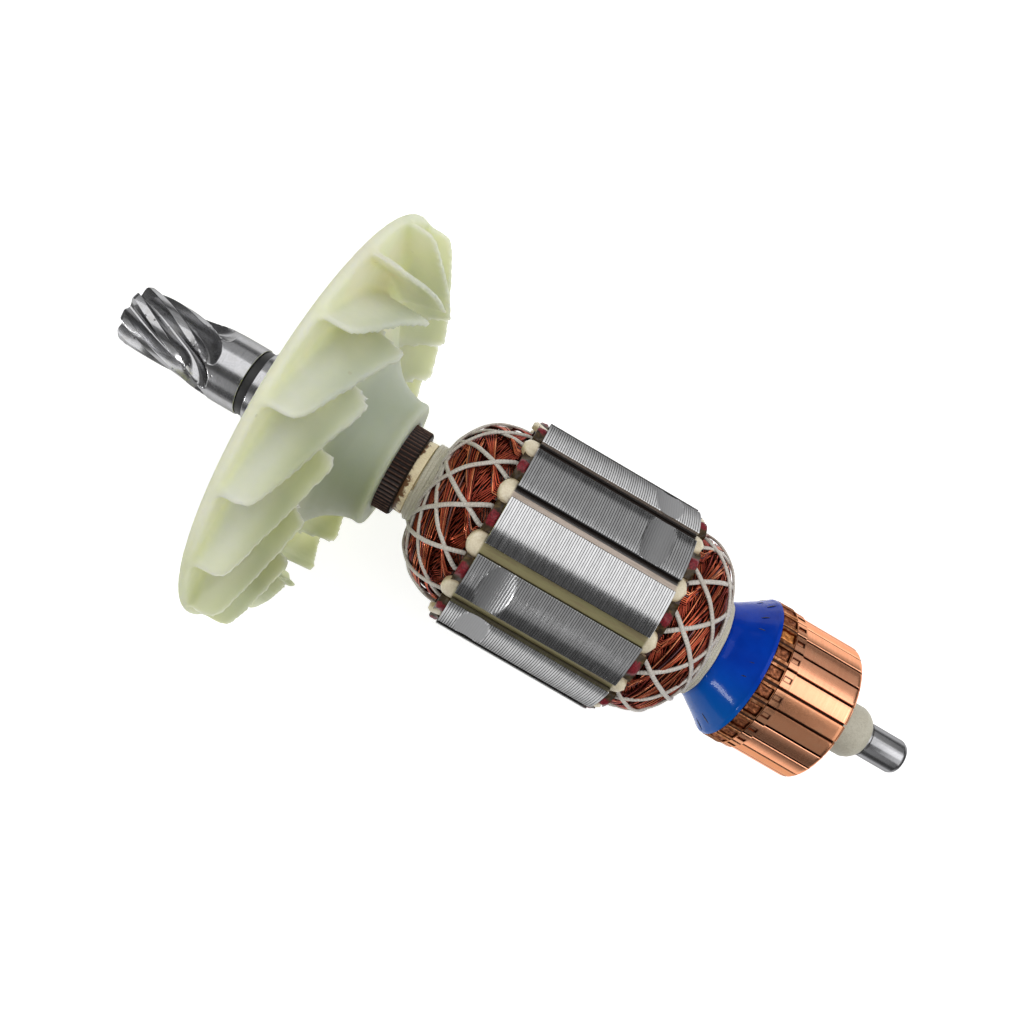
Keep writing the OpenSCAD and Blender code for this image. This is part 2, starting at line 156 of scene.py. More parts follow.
def rounded(points, radius, closed=True, steps=4):
    """Polygon [[x, r], ...] with its corners rounded; radius is one number or one for each corner."""
    pts = np.asarray([p[:2] for p in points], float)
    n = len(pts)
    rad = [radius] * n if np.ndim(radius) == 0 else list(radius)
    out = []
    for i in range(n):
        p, ends = pts[i], (i == 0 or i == n - 1) and not closed
        if ends or rad[i] <= 0:
            out.append(p)
            continue
        a, b = pts[i - 1] - p, pts[(i + 1) % n] - p
        la, lb = np.linalg.norm(a), np.linalg.norm(b)
        a, b = a / la, b / lb
        half = math.acos(max(-1.0, min(1.0, float(a @ b)))) / 2
        if half > PI / 2 - 0.02:
            out.append(p)
            continue
        cut = min(rad[i] / math.tan(half), la * 0.48, lb * 0.48)
        for k in range(steps + 1):
            t = k / steps
            out.append((1 - t) ** 2 * (p + a * cut) + 2 * t * (1 - t) * p + t * t * (p + b * cut))
    return np.array(out)


def lathe(shape, profile, n=128, closed=True, seed=None, rough=0.0, turn=0.0, caps=True):
    """Solid of revolution. A closed profile runs round a ring section; an open one is capped."""
    profile = np.asarray(profile, float)
    a = np.arange(n) * 360.0 / n + turn
    x = np.repeat(profile[:, :1], n, 1)
    r = np.repeat(profile[:, 1:2], n, 1)
    if rough:
        ar = np.radians(a)[None, :]
        rg = np.random.default_rng(seed)
        for k in range(1, 7):
            r = r + rough / k * np.cos(k * ar + rg.uniform(0, 6.3) + profile[:, :1] * rg.uniform(-0.8, 0.8)) * (r > 0.5)
    p = ring_points(x, r, a[None, :])
    shape.grid(p[:, ::-1], around=True, caps=caps and not closed, along=closed)


def spline(points, n):
    """Smooth curve through the points, n samples evenly along it."""
    p = np.asarray(points, float)
    d = np.r_[0, np.cumsum(np.linalg.norm(np.diff(p, axis=0), axis=1))]
    ext = np.vstack([2 * p[0] - p[1], p, 2 * p[-1] - p[-2]])
    out = []
    for i in range(len(p) - 1):
        p0, p1, p2, p3 = ext[i:i + 4]
        for t in np.linspace(0, 1, 24, endpoint=False):
            out.append(0.5 * (2 * p1 + (p2 - p0) * t + (2 * p0 - 5 * p1 + 4 * p2 - p3) * t ** 2 + (3 * p1 - p0 - 3 * p2 + p3) * t ** 3))
    out.append(p[-1])
    q = np.array(out)
    s = np.r_[0, np.cumsum(np.linalg.norm(np.diff(q, axis=0), axis=1))]
    want = np.linspace(0, s[-1], n)
    return np.stack([np.interp(want, s, q[:, k]) for k in range(q.shape[1])], 1)


def unit(v):
    return v / np.maximum(np.linalg.norm(v, axis=-1, keepdims=True), 1e-12)


def tube(shape, path, up, radius, sides=6, flat=1.0, twist=0.0, lobes=0, depth=0.0, flank=False, **values):
    """Tube along a path (n, 3); up (n, 3) points out of the surface it lies on. flat is its height over its width.
    When asked, an attribute marks its sides, which the wire material darkens as painted shade between neighbouring
    wires."""
    g = unit(np.gradient(path, axis=0))
    side = unit(np.cross(g, up))
    top = np.cross(side, g)
    s = np.r_[0, np.cumsum(np.linalg.norm(np.diff(path, axis=0), axis=1))]
    t = (np.arange(sides) + (0.5 if flank else 0.0)) * 2 * PI / sides
    rad = np.broadcast_to(np.asarray(radius, float), (len(path),))[:, None]
    r = rad * (1 + depth * (np.cos(lobes * (t[None, :] - twist * s[:, None])) - 0.5)) if lobes else rad * np.ones((len(path), sides))
    p = path[:, None, :] + (r * np.cos(t))[..., None] * side[:, None, :] + (r * flat * np.sin(t))[..., None] * top[:, None, :]
    vals = {"flank": np.broadcast_to(np.abs(np.cos(t))[None, :], (len(path), sides))} if flank else {}
    for k, v in values.items():
        vals[k] = np.repeat(np.asarray(v, float)[:, None], sides, 1) if np.ndim(v) else v
    shape.grid(p, around=True, caps=True, flip=True, **vals)


# ----------------------------------------------------------------- materials

class Finish:
    """One procedural material. Lengths in its nodes are millimetres of the row frame."""

    def __init__(self, name, color=(0.5, 0.5, 0.5), rough=0.5, metal=0.0, **fixed):
        self.mat = bpy.data.materials.new(name)
        self.mat.use_nodes = True
        self.nt = self.mat.node_tree
        self.nt.nodes.clear()
        self.p = self.new("ShaderNodeBsdfPrincipled")
        self.nt.links.new(self.p.outputs[0], self.new("ShaderNodeOutputMaterial").inputs[0])
        self.p.inputs["Base Color"].default_value = (*color, 1)
        self.p.inputs["Roughness"].default_value = rough
        self.p.inputs["Metallic"].default_value = metal
        for k, v in fixed.items():
            self.p.inputs[k.replace("_", " ")].default_value = v
        self._mm = None

    def new(self, kind, **props):
        n = self.nt.nodes.new(kind)
        for k, v in props.items():
            setattr(n, k, v)
        return n

    def put(self, socket, value):
        if hasattr(value, "is_output") or isinstance(value, bpy.types.NodeSocket):
            self.nt.links.new(value, socket)
        elif hasattr(value, "__len__") and len(value) == 3 and socket.type == "RGBA":
            socket.default_value = (*value, 1)
        else:
            socket.default_value = value

    def mm(self):
        """The point in the row frame, in millimetres."""
        if self._mm is None:
            c = self.new("ShaderNodeTexCoord")
            v = self.new("ShaderNodeVectorMath", operation="SCALE")
            self.put(v.inputs[0], c.outputs["Object"])
            v.inputs["Scale"].default_value = 1000
            self._mm = v.outputs[0]
        return self._mm

    def stretch(self, sx, sy, sz):
        v = self.new("ShaderNodeVectorMath", operation="MULTIPLY")
        self.put(v.inputs[0], self.mm())
        v.inputs[1].default_value = (sx, sy, sz)
        return v.outputs[0]

    def xyz(self):
        n = self.new("ShaderNodeSeparateXYZ")
        self.put(n.inputs[0], self.mm())
        return n.outputs

    def math(self, op, a, b=None, clamp=False):
        n = self.new("ShaderNodeMath", operation=op, use_clamp=clamp)
        self.put(n.inputs[0], a)
        if b is not None:
            self.put(n.inputs[1], b)
        return n.outputs[0]

    def step(self, value, lo, hi):
        """0 below lo, 1 above hi, smooth between; lo may be above hi."""
        n = self.new("ShaderNodeMapRange", interpolation_type="SMOOTHSTEP")
        self.put(n.inputs["Value"], value)
        if lo <= hi:
            n.inputs["From Min"].default_value, n.inputs["From Max"].default_value = lo, hi
            return n.outputs[0]
        n.inputs["From Min"].default_value, n.inputs["From Max"].default_value = hi, lo
        n.inputs["To Min"].default_value, n.inputs["To Max"].default_value = 1, 0
        return n.outputs[0]

    def span(self, value, lo, hi, a, b):
        n = self.new("ShaderNodeMapRange")
        self.put(n.inputs["Value"], value)
        n.inputs["From Min"].default_value, n.inputs["From Max"].default_value = lo, hi
        n.inputs["To Min"].default_value, n.inputs["To Max"].default_value = a, b
        return n.outputs[0]

    def noise(self, scale=1.0, detail=3.0, rough=0.55, vec=None, distort=0.0):
        n = self.new("ShaderNodeTexNoise")
        self.put(n.inputs["Vector"], vec if vec is not None else self.mm())
        n.inputs["Scale"].default_value = scale
        n.inputs["Detail"].default_value = detail
        n.inputs["Roughness"].default_value = rough
        n.inputs["Distortion"].default_value = distort
        return n.outputs["Fac"]

    def cells(self, scale, vec=None, feature="F1", out="Distance"):
        n = self.new("ShaderNodeTexVoronoi", feature=feature)
        self.put(n.inputs["Vector"], vec if vec is not None else self.mm())
        n.inputs["Scale"].default_value = scale
        return n.outputs[out]

    def white(self, value):
        n = self.new("ShaderNodeTexWhiteNoise", noise_dimensions="1D")
        self.put(n.inputs["W"], value)
        return n.outputs["Value"]

    def attr(self, name):
        n = self.new("ShaderNodeAttribute", attribute_name=name)
        return n.outputs["Fac"]

    def mixc(self, fac, a, b, blend="MIX"):
        n = self.new("ShaderNodeMix", data_type="RGBA", blend_type=blend)
        self.put(n.inputs[0], fac)
        self.put(n.inputs[6], a)
        self.put(n.inputs[7], b)
        return n.outputs[2]

    def ramp(self, fac, stops):
        n = self.new("ShaderNodeValToRGB")
        self.put(n.inputs[0], fac)
        e = n.color_ramp.elements
        while len(e) < len(stops):
            e.new(0.5)
        for el, (pos, col) in zip(e, stops):
            el.position = pos
            el.color = (*col, 1)
        return n.outputs[0]

    def color(self, c):
        self.put(self.p.inputs["Base Color"], c)

    def rough(self, r):
        self.put(self.p.inputs["Roughness"], r)

    def bump(self, height, distance, strength=1.0, after=None):
        n = self.new("ShaderNodeBump")
        self.put(n.inputs["Height"], height)
        n.inputs["Distance"].default_value = distance * MM
        n.inputs["Strength"].default_value = strength
        if after is not None:
            self.put(n.inputs["Normal"], after)
        self.put(self.p.inputs["Normal"], n.outputs[0])
        return n.outputs[0]


def steel_finish():
    """Ground and hobbed shaft steel: fine rings from grinding, small nicks, a few stains."""
    f = Finish("ground_steel", (0.6, 0.6, 0.61), 0.3, 1.0, Specular_Tint=(0.5, 0.5, 0.5, 1.0))
    x = f.xyz()[0]
    pinion = f.step(x, -5.0, -9.0)
    fine = f.noise(1.0, 5, 0.65, f.stretch(9.0, 0.5, 0.5))
    hob = f.noise(1.0, 4, 0.6, f.stretch(0.6, 4.0, 4.0))
    blot = f.noise(0.35, 4, 0.6)
    grit = f.noise(5.5, 3, 0.7)
    marks = f.mixc(pinion, fine, hob)
    shade = f.mixc(0.5, marks, grit)
    c = f.ramp(shade, [(0.25, (0.26, 0.26, 0.27)), (0.5, (0.41, 0.41, 0.42)), (0.75, (0.56, 0.56, 0.57))])
    c = f.mixc(f.step(blot, 0.45, 0.75), c, (0.36, 0.355, 0.35))
    nick = f.step(f.cells(0.42), 0.13, 0.05)
    c = f.mixc(f.math("MULTIPLY", nick, 0.7), c, (0.10, 0.095, 0.09))
    far = f.step(x, 150.0, 157.0)
    c = f.mixc(far, c, f.mixc(0.5, c, (0.22, 0.22, 0.23)))
    f.color(c)
    f.rough(f.span(marks, 0.3, 0.7, 0.15, 0.27))
    b = f.bump(marks, 0.006, 0.5)
    f.bump(f.math("MULTIPLY", nick, -1.0), 0.05, 0.6, after=b)
    return f.mat


def rubber_finish():
    f = Finish("seal_rubber", (0.012, 0.012, 0.013), 0.5)
    n = f.noise(3.5, 4, 0.6)
    f.color(f.ramp(n, [(0.3, (0.007, 0.007, 0.008)), (0.8, (0.035, 0.035, 0.037))]))
    f.rough(f.span(n, 0.3, 0.8, 0.42, 0.65))
    f.bump(n, 0.03, 0.4)
    return f.mat


def nylon_finish():
    """Natural nylon, translucent: light wanders a few millimetres inside it."""
    f = Finish("natural_nylon", (0.6, 0.62, 0.42), 0.42, Subsurface_Weight=1.0, Subsurface_Scale=0.009,
               Subsurface_Radius=(1.0, 0.95, 0.6), IOR=1.45, Specular_IOR_Level=0.35)
    x = f.xyz()[0]
    big = f.noise(0.045, 2, 0.5)
    mid = f.noise(0.16, 3, 0.55)
    speck = f.step(f.cells(0.11), 0.055, 0.03)
    c = f.ramp(mid, [(0.3, (0.75, 0.79, 0.54)), (0.6, (0.80, 0.83, 0.58)), (0.8, (0.84, 0.84, 0.62))])
    c = f.mixc(f.math("MULTIPLY", f.step(big, 0.5, 0.66), 0.35), c, (0.82, 0.72, 0.55))
    # painted shade: the hub among the vanes painted darker and greener, darkest on its lower side
    hub_shade = f.step(x, 22.5, 29.0)
    c = f.mixc(f.math("MULTIPLY", hub_shade, 0.8), c, f.mixc(f.step(f.xyz()[1], 6.0, -9.0), (0.38, 0.43, 0.35), (0.22, 0.26, 0.165)))
    # painted shade: the nylon darkened towards the lower side and, less, towards the upper side
    c = f.mixc(f.math("MULTIPLY", f.step(f.xyz()[1], -24.0, -47.0), 0.75), c, (0.44, 0.50, 0.31))
    c = f.mixc(f.math("MULTIPLY", f.step(f.xyz()[1], 32.0, 47.0), 0.6), c, (0.48, 0.54, 0.37))
    c = f.mixc(f.math("MULTIPLY", speck, 0.35), c, (0.40, 0.38, 0.25))
    f.color(c)
    f.rough(f.span(f.noise(0.5, 3), 0.3, 0.7, 0.4, 0.55))
    fine = f.noise(1.6, 3, 0.6)
    f.bump(fine, 0.03, 0.3)
    return f.mat


def bush_finish():
    f = Finish("bush_moulding", (0.05, 0.03, 0.02), 0.5, Specular_IOR_Level=0.22)
    y, z = f.xyz()[1], f.xyz()[2]
    r = f.math("SQRT", f.math("ADD", f.math("MULTIPLY", y, y), f.math("MULTIPLY", z, z)))
    # painted highlight and shade: ridge tips painted lighter, the roots between them near black
    top = f.step(r, 9.86, 10.08)
    n = f.noise(2.0, 4, 0.6, f.stretch(0.6, 2.0, 2.0))
    low = f.ramp(n, [(0.3, (0.006, 0.003, 0.0025)), (0.8, (0.020, 0.010, 0.007))])
    high = f.ramp(n, [(0.3, (0.030, 0.015, 0.011)), (0.75, (0.18, 0.10, 0.07))])
    f.color(f.mixc(top, low, high))
    f.rough(f.span(n, 0.3, 0.8, 0.35, 0.6))
    f.bump(n, 0.04, 0.5)
    return f.mat


def paper_finish():
    """Cream insulating paper with varnish stains."""
    f = Finish("sleeve_paper", (0.8, 0.7, 0.5), 0.55, Coat_Weight=0.15, Coat_Roughness=0.3)
    x, y, z = f.xyz()
    n = f.noise(0.55, 5, 0.6, distort=0.6)
    fib = f.noise(2.5, 4, 0.65, f.stretch(0.5, 1.6, 1.6))
    c = f.ramp(fib, [(0.3, (0.80, 0.65, 0.39)), (0.6, (0.93, 0.81, 0.53)), (0.8, (0.95, 0.87, 0.63))])
    stain = f.math("MULTIPLY", f.step(n, 0.52, 0.68), f.step(y, 3.0, -6.0))
    c = f.mixc(stain, c, (0.42, 0.22, 0.07))
    by_bush = f.math("ADD", f.span(x, 42.4, 44.4, 0.22, -0.16), f.math("MULTIPLY", f.step(y, 2.0, -5.0), 0.14))
    c = f.mixc(f.step(f.math("ADD", n, by_bush), 0.62, 0.74), c, (0.16, 0.07, 0.02))
    c = f.mixc(f.math("MULTIPLY", f.step(f.noise(0.9, 3), 0.6, 0.75), 0.5), c, (0.60, 0.50, 0.26))
    f.color(c)
    f.bump(f.mixc(0.5, n, fib), 0.12, 0.6)
    return f.mat


def twine_finish():
    """Grey-cream polyester twine, slightly varnished where it lies in the lacquer."""
    f = Finish("lacing_twine", (0.55, 0.52, 0.45), 0.62, Sheen_Weight=0.15, Coat_Weight=0.15, Coat_Roughness=0.35)
    lay = f.attr("lay")
    strand = f.noise(1.0, 3, 0.6, f.stretch(3.4, 3.4, 3.4))
    n = f.noise(0.35, 4, 0.6)
    fib = f.math("SINE", f.math("MULTIPLY", lay, 1.0))
    c = f.ramp(strand, [(0.3, (0.46, 0.42, 0.37)), (0.5, (0.64, 0.60, 0.54)), (0.75, (0.80, 0.76, 0.70))])
    c = f.mixc(f.math("MULTIPLY", f.span(fib, -1, 1, 0.0, 1.0), 0.25), c, (0.34, 0.30, 0.25))
    c = f.mixc(f.math("MULTIPLY", f.step(n, 0.45, 0.62), 0.45), c, (0.50, 0.43, 0.36))
    c = f.mixc(f.math("MULTIPLY", f.attr("neck"), 0.5), c, (0.62, 0.59, 0.42))
    f.color(c)
    f.rough(f.span(strand, 0.3, 0.7, 0.5, 0.72))
    b = f.bump(fib, 0.05, 0.5)
    f.bump(strand, 0.05, 0.5, after=b)
    return f.mat


def core_finish():
    """Turned laminations: each sheet a little brighter or darker, smeared where the balance cuts cross."""
    f = Finish("core_steel", (0.5, 0.5, 0.5), 0.35, 1.0, Specular_Tint=(0.25, 0.25, 0.25, 1.0))
    x = f.xyz()[0]
    cut = f.attr("cut")
    sheet = f.math("FLOOR", f.math("DIVIDE", f.math("SUBTRACT", x, 63.05), 36.85 / 72))
    tone = f.white(sheet)
    v = f.new("ShaderNodeVectorMath", operation="ADD")
    shift = f.new("ShaderNodeCombineXYZ")
    f.put(shift.inputs[0], f.math("MULTIPLY", sheet, 3.7))
    f.put(v.inputs[0], f.stretch(0.0, 0.5, 0.5))
    f.put(v.inputs[1], shift.outputs[0])
    streak = f.noise(1.0, 4, 0.6, v.outputs[0])
    grit = f.noise(4.5, 4, 0.7)
    blot = f.noise(0.22, 3, 0.6)
    level = f.mixc(0.62, f.math("ADD", f.math("MULTIPLY", tone, 0.5), 0.25), streak)
    level = f.mixc(f.math("MULTIPLY", cut, 0.8), level, f.mixc(0.5, grit, f.noise(1.0, 4, 0.6, f.stretch(0.25, 3.0, 3.0))))
    c = f.ramp(level, [(0.25, (0.42, 0.42, 0.425)), (0.5, (0.51, 0.51, 0.515)), (0.75, (0.60, 0.60, 0.605))])
    c = f.mixc(f.math("MULTIPLY", f.step(grit, 0.55, 0.8), 0.25), c, (0.30, 0.30, 0.30))
    c = f.mixc(f.math("MULTIPLY", f.step(blot, 0.5, 0.7), 0.2), c, (0.42, 0.41, 0.40))
    c = f.mixc(f.math("MULTIPLY", cut, 0.75), c, (0.31, 0.31, 0.315))
    groove = f.attr("groove")
    c = f.mixc(f.math("MULTIPLY", groove, 0.85), c, (0.10, 0.098, 0.095))
    # painted shade: the slot walls painted near black, as shade inside the slots
    c = f.mixc(f.attr("wall"), c, (0.10, 0.085, 0.075))
    f.color(c)
    f.rough(f.math("ADD", f.span(level, 0.25, 0.75, 0.13, 0.19), f.math("MULTIPLY", cut, 0.20)))
    f.bump(f.math("MULTIPLY", cut, grit), 0.004, 0.4)
    return f.mat


def plate_finish():
    """End fibre under lacquer: olive brown, with red lacquer built up where the twine loops round each tooth."""
    f = Finish("end_fibre", (0.1, 0.06, 0.03), 0.4, Coat_Weight=0.12, Coat_Roughness=0.2, Specular_IOR_Level=0.25)
    red = f.attr("red")
    n = f.noise(1.1, 5, 0.6, distort=0.4)
    fine = f.noise(3.2, 4, 0.6)
    brown = f.ramp(n, [(0.3, (0.018, 0.009, 0.004)), (0.55, (0.060, 0.036, 0.012)), (0.78, (0.15, 0.105, 0.035))])
    lac = f.ramp(fine, [(0.3, (0.07, 0.003, 0.008)), (0.55, (0.20, 0.010, 0.018)), (0.8, (0.36, 0.03, 0.04))])
    f.color(f.mixc(f.step(f.math("ADD", red, f.math("MULTIPLY", f.math("SUBTRACT", n, 0.5), 0.9)), 0.35, 0.6), brown, lac))
    f.rough(f.span(n, 0.3, 0.7, 0.35, 0.55))
    f.bump(f.mixc(0.4, n, fine), 0.14, 0.6)
    return f.mat


def liner_finish():
    f = Finish("liner_paper", (0.5, 0.38, 0.25), 0.5)
    n = f.noise(0.8, 4, 0.6)
    f.color(f.ramp(n, [(0.3, (0.26, 0.17, 0.10)), (0.7, (0.55, 0.42, 0.28))]))
    f.bump(n, 0.08, 0.5)
    return f.mat


def wedge_finish():
    """Cream slot wedge; inside the slot mouth it is under clear varnish and takes on a tint, with painted shade over
    the lower strips and along one side of each strip.
    """
    f = Finish("wedge_fibre", (0.8, 0.7, 0.5), 0.45, Coat_Weight=0.35, Coat_Roughness=0.18)
    x, y, z = f.xyz()
    n = f.noise(0.6, 5, 0.6)
    fine = f.noise(3.0, 4, 0.65)
    end = f.math("MAXIMUM", f.step(x, 63.2, 62.6), f.step(x, 99.7, 100.3))
    cream = f.ramp(fine, [(0.25, (0.66, 0.55, 0.37)), (0.55, (0.80, 0.71, 0.52)), (0.8, (0.87, 0.80, 0.63))])
    cream = f.mixc(f.math("MULTIPLY", f.step(n, 0.5, 0.7), 0.4), cream, (0.60, 0.50, 0.30))
    # the varnish tint goes from pinkish on the upper side to a darker olive on the lower side; the darkening is painted
    # shade
    strip = f.mixc(f.step(y, 4.0, -4.0), (0.52, 0.42, 0.35), (0.30, 0.27, 0.13))
    strip = f.mixc(f.step(f.noise(1.0, 4, 0.6, f.stretch(0.12, 0.9, 0.9)), 0.45, 0.65), strip, f.mixc(0.5, strip, (0.24, 0.17, 0.10)))
    # painted shade: a near-black band along one side of each strip, where the tooth edge shades it
    strip = f.mixc(f.step(f.attr("lane"), -0.10, 0.10), strip, (0.022, 0.016, 0.014))
    c = f.mixc(end, strip, cream)
    rim = f.attr("rim")
    c = f.mixc(f.math("MULTIPLY", rim, 0.65), c, (0.36, 0.24, 0.10))
    f.color(c)
    f.rough(f.math("SUBTRACT", 0.48, f.math("MULTIPLY", f.math("SUBTRACT", 1.0, end), 0.2)))
    f.bump(f.mixc(0.5, n, fine), 0.07, 0.5)
    return f.mat


def wire_finish():
    """Enamelled copper wire, bright where it is clean and dark red-brown where the lacquer lies; the sides of each wire
    and the lower wires are darkened as painted shade.
    """
    f = Finish("magnet_wire", (0.6, 0.25, 0.1), 0.26, 0.75, Coat_Weight=0.28, Coat_Roughness=0.16, Coat_IOR=1.35, Specular_Tint=(0.55, 0.26, 0.18, 1.0))
    tone = f.attr("tone")
    deep = f.attr("deep")
    grey = f.attr("grey")
    n = f.noise(0.30, 3, 0.55)
    fine = f.noise(1.6, 3, 0.6)
    c = f.ramp(tone, [(0.0, (0.22, 0.024, 0.014)), (0.35, (0.43, 0.060, 0.028)), (0.7, (0.64, 0.130, 0.052)), (1.0, (0.88, 0.31, 0.15))])
    c = f.mixc(f.math("MULTIPLY", f.step(n, 0.50, 0.68), 0.55), c, (0.13, 0.020, 0.012))
    c = f.mixc(f.math("MULTIPLY", f.step(fine, 0.62, 0.8), 0.2), c, (0.13, 0.04, 0.03))
    c = f.mixc(grey, c, (0.085, 0.075, 0.10))
    # painted shade: wires lying lower in the head darkened, as if shaded by the wires over them
    c = f.mixc(deep, c, (0.040, 0.008, 0.007))
    # painted shade: the sides of each wire darkened, as shade between neighbouring wires
    c = f.mixc(f.span(f.attr("flank"), 0.1, 0.75, 0.0, 0.9), c, (0.030, 0.006, 0.005))
    f.color(c)
    f.rough(f.span(fine, 0.3, 0.75, 0.18, 0.3))
    f.bump(n, 0.03, 0.25)
    return f.mat


def lacquer_finish():
    """What lies under the wires: blue-black lacquer in the gaps of the winding."""
    f = Finish("winding_lacquer", (0.010, 0.006, 0.007), 0.35, Coat_Weight=0.25, Coat_Roughness=0.15, Specular_IOR_Level=0.3)
    n = f.noise(1.1, 5, 0.6, distort=0.5)
    c = f.ramp(n, [(0.3, (0.008, 0.004, 0.004)), (0.52, (0.050, 0.014, 0.009)), (0.72, (0.016, 0.014, 0.028))])
    # near the core the lowest wires show as ridges
    x, y, z = f.xyz()
    turn = f.math("MULTIPLY", f.math("ARCTAN2", y, z), 96.0)
    sway = f.math("MULTIPLY", f.noise(0.5, 2, 0.5), 6.0)
    ridge = f.span(f.math("SINE", f.math("ADD", f.math("ADD", turn, f.math("MULTIPLY", x, 9.5)), sway)), -1, 1, 0.0, 1.0)
    near = f.step(f.attr("near"), 0.03, 0.35)
    c = f.mixc(f.math("MULTIPLY", near, f.span(ridge, 0.15, 0.8, 0.0, 0.9)), c, f.mixc(f.step(n, 0.4, 0.6), (0.22, 0.040, 0.018), (0.42, 0.090, 0.032)))
    f.color(c)
    f.rough(f.span(n, 0.3, 0.7, 0.2, 0.4))
    b = f.bump(n, 0.3, 0.6)
    f.bump(f.math("MULTIPLY", near, ridge), 0.16, 0.8, after=b)
    return f.mat


def resin_finish():
    f = Finish("blue_resin", (0.0, 0.05, 0.4), 0.2, Coat_Weight=0.13, Coat_Roughness=0.03, Specular_IOR_Level=0.05)
    n = f.noise(0.14, 3, 0.5)
    y = f.xyz()[1]
    c = f.ramp(n, [(0.3, (0.001, 0.034, 0.37)), (0.7, (0.002, 0.055, 0.50))])
    c = f.mixc(f.step(y, 2.0, -13.0), c, (0.002, 0.105, 0.46))
    f.color(c)
    f.rough(f.span(f.noise(0.5, 3), 0.3, 0.7, 0.12, 0.22))
    b = f.bump(f.noise(0.3, 2, 0.5), 0.25, 0.35)
    f.bump(f.noise(1.3, 3, 0.5), 0.05, 0.25, after=b)
    return f.mat


def bar_finish():
    """Turned copper: fine rings on the brush track, duller and browner on the risers."""
    f = Finish("bar_copper", (0.9, 0.6, 0.42), 0.25, 1.0, Specular_Tint=(0.85, 0.62, 0.5, 1.0))
    x = f.xyz()[0]
    tone = f.attr("tone")
    rings = f.noise(1.0, 3, 0.5, f.stretch(3.2, 0.12, 0.12))
    grit = f.noise(3.0, 3, 0.6)
    blot = f.noise(0.3, 4, 0.6)
    c = f.ramp(f.mixc(0.3, rings, grit), [(0.25, (0.82, 0.355, 0.20)), (0.55, (0.89, 0.41, 0.24)), (0.8, (0.94, 0.49, 0.31))])
    # bars with a higher tone darkened: painted shade on bars turned away from the light, random tarnish on the others
    c = f.mixc(f.math("MULTIPLY", f.step(tone, 0.3, 1.0), 0.7), c, (0.50, 0.22, 0.11))
    c = f.mixc(f.math("MULTIPLY", f.step(blot, 0.52, 0.68), 0.22), c, (0.62, 0.36, 0.22))
    strip = f.step(x, 131.9, 131.6)
    c = f.mixc(f.math("MULTIPLY", strip, 0.35), c, (0.50, 0.27, 0.16))
    riser = f.step(x, 129.5, 129.2)
    worn = f.ramp(f.noise(0.9, 4, 0.65), [(0.3, (0.12, 0.04, 0.018)), (0.5, (0.34, 0.135, 0.06)), (0.72, (0.68, 0.34, 0.19))])
    c = f.mixc(riser, c, worn)
    c = f.mixc(f.attr("side"), c, (0.10, 0.035, 0.02))
    f.color(c)
    f.rough(f.math("ADD", f.span(grit, 0.3, 0.7, 0.20, 0.27), f.math("MULTIPLY", riser, 0.12)))
    b = f.bump(rings, 0.004, 0.4)
    f.bump(f.math("MULTIPLY", riser, f.noise(1.4, 4, 0.6)), 0.12, 0.6, after=b)
    return f.mat


def fused_finish():
    """Hot-pressed wire ends: burnt brown with a little bright copper."""
    f = Finish("riser_wire", (0.15, 0.07, 0.03), 0.38, 0.8, Coat_Weight=0.15, Coat_Roughness=0.25, Specular_Tint=(0.6, 0.35, 0.25, 1.0))
    n = f.noise(1.3, 5, 0.65, distort=0.5)
    tone = f.attr("tone")
    c = f.ramp(n, [(0.3, (0.06, 0.018, 0.008)), (0.5, (0.25, 0.080, 0.034)), (0.66, (0.48, 0.18, 0.08)), (0.82, (0.78, 0.38, 0.18))])
    f.color(f.mixc(f.step(tone, 0.85, 0.95), c, f.mixc(0.5, c, (0.95, 0.38, 0.10))))
    f.bump(n, 0.2, 0.8)
    return f.mat


def simple_finish(name, a, b, rough=0.5, scale=0.8, bump=0.06, metal=0.0, **fixed):
    f = Finish(name, a, rough, metal, **fixed)
    n = f.noise(scale, 5, 0.6)
    f.color(f.ramp(n, [(0.3, a), (0.72, b)]))
    f.rough(f.span(n, 0.3, 0.7, max(0.05, rough - 0.07), rough + 0.07))
    f.bump(n, bump, 0.5)
    return f.mat


def collar_finish():
    """Speckled grey-cream moulding."""
    f = Finish("collar_moulding", (0.6, 0.56, 0.46), 0.6)
    n = f.noise(2.1, 5, 0.7)
    fine = f.noise(5.5, 3, 0.7)
    c = f.ramp(f.mixc(0.5, n, fine), [(0.3, (0.36, 0.33, 0.25)), (0.5, (0.55, 0.52, 0.42)), (0.75, (0.70, 0.68, 0.58))])
    f.color(f.mixc(f.math("MULTIPLY", f.step(n, 0.62, 0.74), 0.5), c, (0.24, 0.21, 0.15)))
    f.rough(f.span(n, 0.3, 0.7, 0.5, 0.7))
    f.bump(fine, 0.08, 0.6)
    return f.mat


STEEL = steel_finish()
RUBBER = rubber_finish()
NYLON = nylon_finish()
BUSH = bush_finish()
PAPER = paper_finish()
TWINE = twine_finish()
CORE = core_finish()
PLATE = plate_finish()
LINER = liner_finish()
WEDGE = wedge_finish()
WIRE = wire_finish()
LACQUER = lacquer_finish()
RESIN = resin_finish()
BAR = bar_finish()
FUSED = fused_finish()
MICA = simple_finish("mica", (0.02, 0.008, 0.005), (0.07, 0.030, 0.018), 0.7, Specular_IOR_Level=0.12)
CORE_MOULD = simple_finish("core_moulding", (0.10, 0.05, 0.03), (0.22, 0.12, 0.07), 0.5)
BUSH_STEEL = simple_finish("bush_steel", (0.32, 0.32, 0.33), (0.5, 0.5, 0.51), 0.35, metal=1.0, bump=0.02)
COLLAR = collar_finish()

# --------------------------------------------------------------------- shaft

SEAT_R = 15.875 / 2
TIP_X, RUN_X, RUN_R = -26.2, -12.4, 13.0


